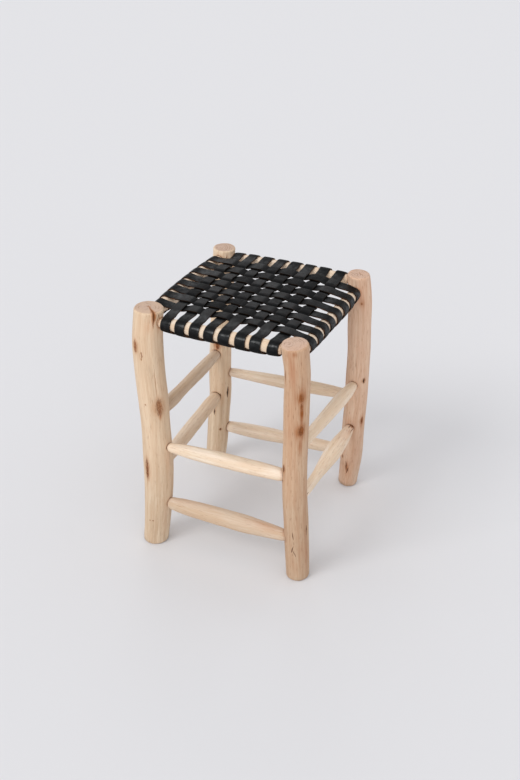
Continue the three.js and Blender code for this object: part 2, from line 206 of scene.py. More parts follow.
LEG_FORMS: dict[str, LegForm] = {
    "front_left": LegForm(
        radius=24.5,
        foot_shares=(-0.489, -0.505),
        head_shares=(-0.517, -0.469),
        bow_shares=(0, 0.187, 0.323, 0.333, 0.25, 0.135, -0.031, -0.125, 0.021),
        girth_shares=(0.89, 0.92, 0.98, 1.015, 0.995, 1.015, 0.985, 0.99, 0.98),
        oval_share=0.02,
        oval_turn_share=0.1,
        finish=Finish.PALE_BRANCH,
        saw_tilt=(0.02, 0.012),
        aged=0.0,
        marks=(
            Mark(CRACK, -41.5, 447.0, 1.8, 26.0, 1.6, darkness=0.3),
            Mark(KNOT, -41.0, 444.0, 2.8, 10.0, 0.8, darkness=0.6),
            Mark(STAIN, -41.0, 441.0, 3.8, 10.0, 1.4),
            Mark(CHECK, -13.0, 1.0, 1.4, 5.0, 0.3, darkness=0.0),
            Mark(CRACK, -20.0, 441.0, 0.6, 7.0, 0.5, -9.0, 0.4),
            Mark(CRACK, -26.0, 434.0, 0.6, 8.0, 0.6, 6.0, 0.5),
            Mark(CRACK, -15.0, 428.0, 0.6, 8.0, 0.5, 5.0, 0.6),
            Mark(STAIN, -16.0, 424.0, 3.0, 12.0, 0.5),
            Mark(KNOT, -117.0, 388.0, 4.4, 11.0, 0.7, darkness=0.6),
            Mark(STAIN, -117.0, 386.0, 4.0, 17.0, 0.6),
            Mark(KNOT, -89.0, 378.5, 0.9, 2.2, 0.3, darkness=1.0),
            Mark(KNOT, -86.0, 373.5, 0.8, 2.4, 0.3, darkness=1.0),
            Mark(KNOT, -91.0, 367.5, 1.0, 2.4, 0.3, darkness=1.0),
            Mark(KNOT, -38.5, 279.0, 7.0, 16.5, 0.6, darkness=0.55),
            Mark(STAIN, -38.5, 262.0, 2.4, 8.0, 0.9),
            Mark(CRACK, -42.5, 326.0, 0.5, 32.0, 0.25, 3.0, 0.1),
            Mark(KNOT, -111.5, 157.0, 3.6, 21.0, 0.6, darkness=0.9),
            Mark(STAIN, -111.5, 157.0, 4.4, 26.0, 0.6),
            Mark(KNOT, -93.0, 284.5, 1.0, 1.8, 0.3, darkness=0.7),
            Mark(KNOT, -84.0, 52.0, 1.1, 1.3, 0.3, darkness=0.9),
            Mark(KNOT, -100.0, 51.0, 1.0, 1.2, 0.3, darkness=0.9),
            Mark(FLUSH, -58.0, 425.0, 11.0, 12.0, 0.45),
            Mark(FLUSH, -22.0, 170.0, 4.0, 26.0, 0.4),
            Mark(FLUSH, -28.0, 60.0, 5.0, 34.0, 0.3),
            Mark(KNOT, 65.0, 330.0, 4.0, 9.0, 0.7),
            Mark(KNOT, 150.0, 210.0, 4.6, 14.0, 0.7, darkness=0.6),
            Mark(CRACK, 100.0, 120.0, 0.7, 40.0, 0.5, 4.0, 0.6),
        ),
    ),
    "front_right": LegForm(
        radius=19.9,
        foot_shares=(0.514, -0.468),
        head_shares=(0.481, -0.55),
        bow_shares=(0, -0.022, -0.076, -0.14, -0.097, 0.032, 0.13, 0.14, 0.054),
        girth_shares=(0.995, 1.005, 1.01, 1.01, 1.015, 1.01, 1.01, 1.01, 1.08),
        oval_share=0.025,
        oval_turn_share=0.35,
        finish=Finish.PINK_BRANCH,
        saw_tilt=(-0.035, -0.07),
        aged=1.0,
        head_rise=4.0,
        marks=(
            Mark(HOLLOW, -156.0, 408.0, 15.0, 38.0, 2.9),
            Mark(HOLLOW, 24.0, 400.0, 14.0, 34.0, -1.4),
            Mark(KNOT, -44.0, 366.0, 4.4, 8.0, 0.4, darkness=0.4),
            Mark(KNOT, -44.5, 351.0, 2.2, 5.0, 0.3, darkness=0.5),
            Mark(KNOT, -43.0, 338.0, 2.0, 6.0, 0.3, darkness=0.4),
            Mark(CRACK, -44.5, 322.0, 0.6, 17.0, 0.3, 2.0, 0.0),
            Mark(KNOT, -46.0, 306.0, 5.8, 9.0, 0.8, darkness=0.6),
            Mark(STAIN, -44.0, 366.0, 8.0, 17.0, 1.7),
            Mark(STAIN, -44.0, 342.0, 5.0, 22.0, 1.6),
            Mark(STAIN, -46.0, 305.0, 8.5, 17.0, 1.9),
            Mark(STAIN, -47.0, 282.0, 4.4, 22.0, 1.3),
            Mark(STAIN, -68.0, 444.0, 4.0, 4.5, 1.1),
            Mark(STAIN, -84.0, 428.0, 1.6, 14.0, 0.4),
            Mark(CRACK, -124.0, 401.0, 1.0, 12.0, 0.5, 2.0, 0.2),
            Mark(STAIN, -124.0, 401.0, 2.6, 16.0, 0.7),
            Mark(KNOT, -126.0, 229.0, 2.4, 7.0, 0.6, darkness=1.0),
            Mark(STAIN, -125.0, 226.0, 3.0, 14.0, 0.9),
            Mark(CRACK, -84.0, 98.0, 0.6, 9.0, 0.6, -4.0, 0.8),
            Mark(CRACK, -90.0, 69.0, 0.7, 8.0, 0.6, 12.0, 0.9),
            Mark(CRACK, -81.0, 61.0, 0.6, 7.0, 0.5, -12.0, 0.9),
            Mark(CRACK, -9.0, 105.0, 1.1, 11.0, 1.0, 2.0, 0.8),
            Mark(FLUSH, -80.0, 412.0, 9.0, 36.0, 0.7),
            Mark(FLUSH, -104.0, 330.0, 6.0, 60.0, 0.25),
            Mark(FLUSH, -20.0, 60.0, 6.0, 40.0, 0.3),
            Mark(KNOT, 70.0, 150.0, 4.0, 11.0, 0.7),
            Mark(KNOT, 130.0, 360.0, 3.5, 7.0, 0.6),
            Mark(CRACK, 15.0, 250.0, 0.6, 45.0, 0.5, -5.0, 0.6),
        ),
    ),
    "back_right": LegForm(
        radius=20.7,
        foot_shares=(0.472, 0.5),
        head_shares=(0.519, 0.489),
        bow_shares=(-0.031, 0.133, 0.179, 0.256, 0.307, 0.297, 0.236, 0.164, -0.087),
        girth_shares=(0.86, 0.98, 0.99, 1.0, 1.02, 0.97, 0.98, 0.985, 0.965),
        oval_share=0.02,
        oval_turn_share=0.6,
        finish=Finish.PINK_BRANCH,
        saw_tilt=(0.015, 0.01),
        aged=0.0,
        marks=(
            Mark(KNOT, -38.5, 243.5, 2.9, 5.4, 0.4, darkness=1.0),
            Mark(CRACK, -38.5, 243.5, 1.8, 4.6, 0.8, darkness=1.0),
            Mark(KNOT, -31.0, 155.0, 2.6, 8.0, 0.6, darkness=0.9),
            Mark(STAIN, -31.0, 152.0, 4.4, 14.0, 1.2),
            Mark(CRACK, -93.0, 52.0, 1.1, 11.0, 0.8, -6.0, 0.8),
            Mark(CRACK, -84.0, 41.0, 0.9, 8.0, 0.7, 10.0, 0.8),
            Mark(STAIN, -90.0, 45.0, 4.4, 15.0, 1.1),
            Mark(KNOT, -122.0, 69.0, 1.6, 3.4, 0.4, darkness=1.0),
            Mark(STAIN, -60.0, 402.0, 5.0, 7.0, 0.7),
            Mark(KNOT, -63.0, 401.0, 1.5, 2.6, 0.3, darkness=0.6),
            # Painted shade: this long stain darkens a strip of the leg's front left side below the seat,
            # where the seat's shade falls on it.
            Mark(STAIN, -140.0, 340.0, 5.0, 90.0, 0.6),
            Mark(FLUSH, -69.0, 412.0, 7.0, 20.0, 0.6),
            Mark(FLUSH, -99.0, 150.0, 10.0, 12.0, 0.5),
            Mark(FLUSH, -60.0, 300.0, 6.0, 60.0, 0.25),
            Mark(CHECK, -30.0, 5.0, 0.5, 6.0, 0.3, darkness=0.2),
            Mark(KNOT, 40.0, 310.0, 4.2, 12.0, 0.7),
            Mark(KNOT, 120.0, 120.0, 3.6, 9.0, 0.6),
            Mark(CRACK, 85.0, 390.0, 0.7, 30.0, 0.7, 3.0, 0.6),
        ),
    ),
    "back_left": LegForm(
        radius=20.4,
        foot_shares=(-0.532, 0.41),
        head_shares=(-0.466, 0.512),
        bow_shares=(0, 0.148, 0.163, 0.158, 0.053, -0.032, -0.032, -0.011, 0),
        girth_shares=(0.945, 0.995, 0.995, 1.03, 0.99, 0.945, 0.945, 0.955, 0.975),
        oval_share=0.025,
        oval_turn_share=0.85,
        finish=Finish.PALE_BRANCH,
        saw_tilt=(-0.01, 0.018),
        aged=0.0,
        marks=(
            Mark(CRACK, -23.5, 158.0, 2.0, 13.0, 1.2, -2.0, 1.0),
            Mark(KNOT, -56.0, 77.0, 2.2, 2.8, 0.4, darkness=1.0),
            Mark(CRACK, -64.0, 153.0, 1.0, 6.0, 0.6, darkness=1.0),
            Mark(CRACK, -93.0, 116.0, 1.3, 8.0, 0.8, darkness=1.0),
            Mark(KNOT, -80.0, 262.0, 5.0, 8.5, 0.5, darkness=1.0),
            Mark(STAIN, -84.0, 262.0, 9.0, 15.0, 1.4),
            Mark(CRACK, -52.0, 438.0, 0.7, 6.0, 0.5, darkness=0.5),
            Mark(KNOT, 80.0, 200.0, 4.0, 10.0, 0.7),
            Mark(KNOT, 175.0, 330.0, 4.2, 11.0, 0.6),
            Mark(CRACK, 140.0, 90.0, 0.7, 34.0, 0.6, 4.0, 0.6),
        ),
    ),
}

RAIL_GIRTH_SHARES = (0.8, 0.97, 0.99, 1, 0.99, 0.97, 0.8)
LEFT_RAIL_GIRTH_SHARES = (0.8, 1.02, 1.12, 1.14, 1.12, 1, 0.8)
RAIL_FORMS: dict[str, StickForm] = {
    "front": StickForm("front_left", "front_right", (0.9475, 0.9705), RAIL_GIRTH_SHARES),
    "back": StickForm("back_left", "back_right", (0.956, 0.9645), RAIL_GIRTH_SHARES),
    "left": StickForm("front_left", "back_left", (0.96, 0.96), LEFT_RAIL_GIRTH_SHARES),
    "right": StickForm("front_right", "back_right", (0.9475, 0.937), RAIL_GIRTH_SHARES),
}
STRETCHER_FORMS: dict[str, StickForm] = {
    "front_upper": StickForm(
        "front_left", "front_right", (0.439, 0.46), (0.6, 0.85, 0.94, 0.98, 0.97, 0.955, 0.84),
        FRONT_STRETCHER_OUTSET, tip_pinches=(0.5, 0.1), aged=0.0,
    ),
    "front_lower": StickForm(
        "front_left", "front_right", (0.189, 0.1815), (0.78, 1.06, 1.16, 1.19, 1.19, 1.01, 0.8),
        FRONT_STRETCHER_OUTSET,
        (Mark(FLUSH, 70.0, 205.0, 8.0, 30.0, 0.55), Mark(FLUSH, 85.0, 60.0, 6.0, 30.0, 0.25)),
        (0.5, 0.1), 0.9,
    ),
    "back_upper": StickForm(
        "back_left", "back_right", (0.4385, 0.4425), (0.63, 0.75, 0.85, 0.93, 0.94, 0.88, 0.7),
    ),
    "back_lower": StickForm(
        "back_left", "back_right", (0.168, 0.16), (0.8, 0.98, 1.02, 0.92, 0.9, 0.86, 0.7),
    ),
    "left_upper": StickForm(
        "front_left", "back_left", (0.5505, 0.535), (0.78, 0.93, 0.86, 0.87, 0.9, 0.86, 0.72),
        aged=0.9,
    ),
    "left_lower": StickForm(
        "front_left", "back_left", (0.323, 0.335), (0.72, 0.92, 0.98, 0.99, 0.96, 0.96, 0.78),
        aged=0.5,
    ),
    "right_upper": StickForm(
        "front_right", "back_right", (0.5655, 0.5155), (0.66, 0.76, 0.8, 0.88, 0.92, 0.89, 0.62),
        aged=0.0,
    ),
    "right_lower": StickForm(
        "front_right", "back_right", (0.324, 0.3095), (0.54, 0.64, 0.72, 0.98, 1.15, 0.97, 0.6),
        marks=(
            Mark(KNOT, 50.0, 262.0, 3.2, 7.0, 0.4, darkness=0.8),
            Mark(STAIN, 56.0, 262.0, 7.0, 13.0, 1.2),
            Mark(CRACK, 76.0, 256.0, 0.8, 11.0, 0.6, 8.0, 0.9),
            Mark(CRACK, 28.0, 249.0, 0.7, 10.0, 0.6, -8.0, 0.8),
            Mark(CRACK, 20.0, 34.0, 0.8, 8.0, 0.7, 6.0, 0.9),
            Mark(FLUSH, 60.0, 225.0, 8.0, 34.0, 0.5),
            Mark(STAIN, 40.0, 240.0, 4.0, 9.0, 0.8),
        ),
        aged=0.0,
    ),
}

WARP_FORM = StrapForm(
    rails=("front", "back"),
    start_shares=(-0.372, -0.268, -0.168, -0.067, 0.037, 0.146, 0.247, 0.36),
    end_shares=(-0.349, -0.246, -0.139, -0.032, 0.068, 0.169, 0.274, 0.388),
    width_shares=(1, 1, 0.98, 0.96, 1.05, 1, 1.03, 1),
    start_slant_shares=(1, 1, 1, 1, 1, 1, 1, 0.3),
    end_slant_shares=(0.5, 0.5, 0.5, 0.5, 0.5, 0.5, 0.5, 0.04),
)
WEFT_FORM = StrapForm(
    rails=("left", "right"),
    start_shares=(-0.334, -0.233, -0.143, -0.054, 0.038, 0.139, 0.249, 0.357),
    end_shares=(-0.373, -0.273, -0.177, -0.077, 0.031, 0.142, 0.246, 0.362),
    width_shares=(1, 1.03, 1, 1, 1.05, 1.1, 1.08, 1.15),
    start_slant_shares=(-0.2, -0.5, -0.5, -0.5, -0.5, -0.5, -0.5, -0.5),
    end_slant_shares=(-0.5, -0.5, -0.5, -0.5, -0.5, -0.5, -0.5, -0.5),
)


# Curves and reliefs

CRACK_TAPER = 0.75
LEAST_CRACK_WIDTH = 1e-3


def smooth_share(shares: Shares, place: np.ndarray) -> np.ndarray:
    """Reads a smooth curve through evenly spaced shares.

    Between two shares the curve is a cubic whose slope at each share is half the difference of its two
    neighbours. Past the ends the last step is repeated.

    Args:
        shares: The values that the curve passes through.
        place: Where to read it, from 0 at the first share to 1 at the last.

    Returns:
        The curve's value at each place.
    """
    values = np.asarray(shares, float)
    knots = np.concatenate(([2 * values[0] - values[1]], values, [2 * values[-1] - values[-2]]))
    step = np.clip(place, 0.0, 1.0) * (len(values) - 1)
    first = np.minimum(np.floor(step).astype(int), len(values) - 2)
    t = step - first
    before, here, there, after = (knots[first + shift] for shift in range(4))
    leaving, arriving = (there - before) / 2, (after - here) / 2
    return (
        here
        + leaving * t
        + (3 * (there - here) - 2 * leaving - arriving) * t**2
        + (2 * (here - there) + leaving + arriving) * t**3
    )


def ease(value: np.ndarray, low: float, high: float) -> np.ndarray:
    """Rises smoothly from 0 at low to 1 at high, as 3t² - 2t³."""
    t = np.clip((value - low) / (high - low), 0.0, 1.0)
    return t * t * (3.0 - 2.0 * t)


def bell(value: np.ndarray, middle: float, half_width: float) -> np.ndarray:
    """A bell curve, e to the minus square of the distance from its middle in half widths."""
    return np.exp(-(((value - middle) / half_width) ** 2))


def crack_section(aside: np.ndarray, run: np.ndarray) -> tuple[np.ndarray, np.ndarray]:
    """A crack's width along its run and its depth across it, both as shares.

    The width is a power of what is left of the run, and the depth falls evenly to nothing at that width.

    Args:
        aside: How far each point lies beside the middle line, in half widths.
        run: How far each lies along it from its middle, in half lengths.

    Returns:
        The width and the depth at each point.
    """
    width = np.clip(1.0 - np.abs(run), 0.0, 1.0) ** CRACK_TAPER + LEAST_CRACK_WIDTH
    return width, np.clip(1.0 - np.abs(aside) / width, 0.0, 1.0)


@dataclass(frozen=True)
class Ripples:
    """A soft random relief that closes round a piece.

    It is a sum of cosine waves. Each has a whole number of waves round the piece, a length along it and
    a random start, so the relief has no seam.
    """

    count: int
    most_turns: int
    lengths: Pair
    height: float

    def relief(self, seed: int, turn: np.ndarray, along: np.ndarray) -> np.ndarray:
        """The relief's height.

        Args:
            seed: What the random numbers grow from.
            turn: The angle round the piece.
            along: The distance along the piece.

        Returns:
            The height at each of these, in millimetres.
        """
        rng = np.random.default_rng(seed)
        turns = rng.integers(0, self.most_turns + 1, self.count)
        lengths = np.exp(rng.uniform(*np.log(self.lengths), self.count))
        starts = rng.uniform(0.0, FULL_TURN, self.count)
        total = np.zeros(np.broadcast(turn, along).shape)
        for whole, length, start in zip(turns, lengths, starts):
            total += np.cos(whole * turn + FULL_TURN * along / length + start)
        return self.height * math.sqrt(2.0 / self.count) * total


# Meshes

SHARP_DEGREES = 40.0


@dataclass
class Skin:
    """A closed skin over a row of rings, in millimetres, with values on its points."""

    grid: np.ndarray
    values: dict[str, np.ndarray] = field(default_factory=dict)

    @staticmethod
    def with_hubs(rows: np.ndarray) -> np.ndarray:
        """Flattens values given on the grid, and adds their mean on each end ring, for the fans' hubs."""
        flat = rows.reshape(-1, *rows.shape[2:])
        return np.concatenate((flat, rows[:1].mean(1), rows[-1:].mean(1)))

    def faces(self) -> tuple[np.ndarray, np.ndarray]:
        """The skin's faces: four-sided between rings, and a fan of triangles over each end.

        They face outwards: where the tetrahedra from the origin to them add up to less than nothing,
        every face is turned round.

        Returns:
            The quads and the triangles, as rows of point numbers.
        """
        rows, columns = self.grid.shape[:2]
        here = np.arange(columns)
        following = np.roll(here, -1)
        base = (np.arange(rows - 1) * columns)[:, None]
        quads = np.stack(
            (base + here, base + following, base + columns + following, base + columns + here), -1
        ).reshape(-1, 4)
        hub = rows * columns
        last = (rows - 1) * columns
        fans = np.concatenate((
            np.stack((np.full(columns, hub), following, here), -1),
            np.stack((np.full(columns, hub + 1), last + here, last + following), -1),
        ))
        points = self.with_hubs(self.grid)
        split = np.concatenate((quads[:, [0, 1, 2]], quads[:, [0, 2, 3]], fans))
        first, second, third = (points[split[:, corner]] for corner in range(3))
        if np.einsum("ij,ij->", first, np.cross(second, third)) < 0:
            quads, fans = quads[:, ::-1], fans[:, ::-1]
        return quads, fans


def make_object(name: str, skins: list[Skin], sharp_degrees: float = SHARP_DEGREES) -> bpy.types.Object:
    """Puts one or more skins into one mesh object at the origin.

    Args:
        name: The piece's name.
        skins: The closed skins, which keep their values as point attributes.
        sharp_degrees: Edges that turn more than this stay sharp.

    Returns:
        The new object, linked to the scene.
    """
    points, faces, count = [], [], 0
    for skin in skins:
        points.append(skin.with_hubs(skin.grid))
        for rows in skin.faces():
            faces += (rows + count).tolist()
        count += len(points[-1])
    mesh = bpy.data.meshes.new(name)
    mesh.from_pydata((np.concatenate(points) * MM).tolist(), [], faces)
    for key in skins[0].values:
        put_values(mesh, key, np.concatenate([skin.with_hubs(skin.values[key]) for skin in skins]))
    smooth_shading(mesh, sharp_degrees)
    piece = bpy.data.objects.new(name, mesh)
    bpy.context.scene.collection.objects.link(piece)
    return piece


def smooth_shading(mesh: bpy.types.Mesh, sharp_degrees: float = SHARP_DEGREES) -> None:
    """Shades a mesh smooth and keeps the edges that turn more than an angle sharp.

    Args:
        mesh: The mesh.
        sharp_degrees: The angle.
    """
    mesh.polygons.foreach_set("use_smooth", np.ones(len(mesh.polygons), bool))
    mesh.set_sharp_from_angle(angle=math.radians(sharp_degrees))
    mesh.update()


def put_values(mesh: bpy.types.Mesh, name: str, values: np.ndarray) -> None:
    """Writes one value or vector for each point of a mesh as an attribute.

    Args:
        mesh: The mesh.
        name: The attribute's name.
        values: A number or three coordinates for each point.
    """
    is_vector = values.ndim == 2
    layer = mesh.attributes.new(name, "FLOAT_VECTOR" if is_vector else "FLOAT", "POINT")
    layer.data.foreach_set("vector" if is_vector else "value", values.astype(np.float32).ravel())


def read_points(mesh: bpy.types.Mesh) -> np.ndarray:
    """A mesh's points in millimetres."""
    flat = np.empty(len(mesh.vertices) * 3, np.float32)
    mesh.vertices.foreach_get("co", flat)
    return flat.reshape(-1, 3).astype(float) / MM


def settle(
    piece: bpy.types.Object, finish: Finish | None, material: bpy.types.Material, *nodes: str
) -> None:
    """Gives a finished piece its material and its body, and hides the nodes that it stands for.

    Args:
        piece: The finished piece.
        finish: The record's material slot, where it has one. It is not used.
        material: The material of its whole surface.
        nodes: The frame's nodes that it stands for.
    """
    piece.data.materials.clear()
    piece.data.materials.append(material)
    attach(piece, BODY)
    if nodes:
        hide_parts(*nodes)


# Wood


@dataclass
class MarkMap:
    """Where each point of a piece lies in the nearest of several marks."""

    shape: tuple[int, ...]
    far: float = 8.0
    wander_length: float = 0.45
    places: np.ndarray = field(init=False)
    dark: np.ndarray = field(init=False)
    wander: np.ndarray = field(init=False)

    def __post_init__(self) -> None:
        """Starts with no mark anywhere."""
        self.places = np.full((*self.shape, 3), self.far)
        self.dark, self.wander = np.zeros(self.shape), np.zeros(self.shape)

    def lay(
        self, mark: Mark, aside: np.ndarray, run: np.ndarray, is_there: np.ndarray | bool = True
    ) -> None:
        """Adds a mark.

        Args:
            mark: The mark.
            aside: How far each point lies beside its middle line, in half widths.
            run: How far each lies along it from its middle, in half lengths.
            is_there: Which points the mark can be on.
        """
        reach = np.hypot(aside, run)
        nearer = (reach < self.places[..., 2]) & is_there
        self.places = np.where(nearer[..., None], np.stack((aside, run, reach), -1), self.places)
        self.dark = np.where(nearer, mark.darkness, self.dark)
        self.wander = np.where(nearer, self.wander_length / mark.half_width, self.wander)


@dataclass
class WoodMarks:
    """Everything that a piece's marks do to its surface and its colour."""

    shape: tuple[int, ...]
    rim_at: float = 1.1
    rim_width: float = 0.45
    rim_share: float = 0.4
    bowl_width: float = 0.55
    knots: MarkMap = field(init=False)
    cracks: MarkMap = field(init=False)
    tints: dict[MarkKind, np.ndarray] = field(init=False)
    relief: np.ndarray = field(init=False)

    def __post_init__(self) -> None:
        """Starts with plain wood."""
        self.knots, self.cracks = MarkMap(self.shape), MarkMap(self.shape)
        self.tints = {kind: np.zeros(self.shape) for kind in (FLUSH, STAIN)}
        self.relief = np.zeros(self.shape)

    @classmethod
    def read(
        cls, marks: tuple[Mark, ...], turn: np.ndarray, along: np.ndarray, radius: np.ndarray
    ) -> "WoodMarks":
        """Lays a round piece's marks on its points.

        Args:
            marks: The piece's marks. Checks are left to the sawn head.
            turn: The angle round the piece.
            along: The distance along it.
            radius: The radius there.

        Returns:
            The marks on these points.
        """
        result = cls(turn.shape)
        for mark in marks:
            if mark.kind is not CHECK:
                run = (along - mark.along) / mark.half_length
                middle = math.radians(mark.turn) + math.radians(mark.lean) / 2 * run
                off = np.mod(turn - middle + HALF_TURN, FULL_TURN) - HALF_TURN
                result.lay(mark, off * radius / mark.half_width, run)
        return result

    def lay(self, mark: Mark, aside: np.ndarray, run: np.ndarray) -> None:
        """Lays one mark.

        A knot is an eye, whose rim is where the sum of the distance beside it and the square of the
        distance along it is 1. It has a raised rim and a hollow middle. A crack is a groove that narrows
        to its tips. A flush, a stain or a hollow is a bell curve.

        Args:
            mark: The mark.
            aside: How far each point lies beside its middle line, in half widths.
            run: How far each lies along it from its middle, in half lengths.
        """
        if mark.kind is KNOT:
            self.knots.lay(mark, aside, run)
            eye = np.abs(aside) + run**2
            rim = self.rim_share * bell(eye, self.rim_at, self.rim_width)
            self.relief += mark.depth * (rim - bell(eye, 0.0, self.bowl_width))
        elif mark.kind is CRACK:
            self.cracks.lay(mark, aside, run)
            width, depth = crack_section(aside, run)
            self.relief -= mark.depth * width * depth
        else:
            strength = mark.depth * bell(np.hypot(aside, run), 0.0, 1.0)
            if mark.kind is HOLLOW:
                self.relief -= strength
            else:
                self.tints[mark.kind] = np.maximum(self.tints[mark.kind], strength)

    def fields(self) -> dict[str, np.ndarray]:
        """Gathers the values that the finish reads.

        Returns:
            The values, by the names of their attributes.
        """
        return {
            "knot": self.knots.places,
            "crack": self.cracks.places,
            "dark": np.stack((self.knots.dark, self.cracks.dark, self.cracks.wander), -1),
            "flush": self.tints[FLUSH],
            "stain": self.tints[STAIN],
        }


@dataclass(frozen=True)
class Log:
    """The straight log that a piece is taken from, which its grain is worked out in."""

    seed: int
    step: float = 1370.0

    def place(self, across: np.ndarray, up: np.ndarray, along: np.ndarray) -> np.ndarray:
        """Coordinates in the log, in metres, with the grain along the third one."""
        return np.stack((across, up, along + self.step * self.seed), -1) * MM


@dataclass(frozen=True)
class Whittling:
    """How a knife shapes a stick: the ranges that each flat's numbers are drawn from, and the blend.

    Attributes:
        flats: The least number of flats round the stick, and one more than the most.
        uneven: How far a flat lies off its even place, as a share of a place's width.
        drift: How far its way turns from one end of the stick to the other, in radians.
        cut: How much nearer to the axis it lies than the round bar, as a share of the radius.
        swell: How much that changes along the stick.
        wave: The length over which it changes.
        sharpness: The power of the mean that blends the flats and the round bar.
        least_cosine: Where a flat ends on the sides that face away from it.
    """

    flats: tuple[int, int] = (8, 11)
    uneven: Pair = (-0.22, 0.22)
    drift: Pair = (-0.5, 0.5)
    cut: Pair = (0.008, 0.04)
    swell: Pair = (0.006, 0.02)
    wave: Pair = (90.0, 240.0)
    sharpness: float = 70.0
    least_cosine: float = 0.3

    def share(self, seed: int, length: float, turn: np.ndarray, distance: np.ndarray) -> np.ndarray:
        """The whittled section's radius, as a share of the round one.

        The knife leaves a few long flats. Each is a plane whose distance from the axis rises and falls
        along the stick, and whose way drifts a little, so that the share there is that distance over
        the cosine of the angle to the flat. The flats and the circle are blended by a high power mean.

        Args:
            seed: What the random numbers grow from.
            length: The stick's length.
            turn: The angle round the stick.
            distance: The distance along it.

        Returns:
            The share at each of these.
        """
        rng = np.random.default_rng(seed)
        count = int(rng.integers(*self.flats))
        total = np.ones(np.broadcast(turn, distance).shape)
        for number in range(count):
            middle = FULL_TURN * (number + rng.uniform(*self.uneven)) / count
            drift = rng.uniform(*self.drift) / length
            cut, swell, wave = (rng.uniform(*each) for each in (self.cut, self.swell, self.wave))
            depth = swell * np.cos(FULL_TURN * distance / wave + rng.uniform(0.0, FULL_TURN))
            angle = turn - middle - drift * (distance - length / 2)
            share = (1.0 - cut + depth) / np.maximum(np.cos(angle), self.least_cosine)
            total += share**-self.sharpness
        return total ** (-1.0 / self.sharpness)


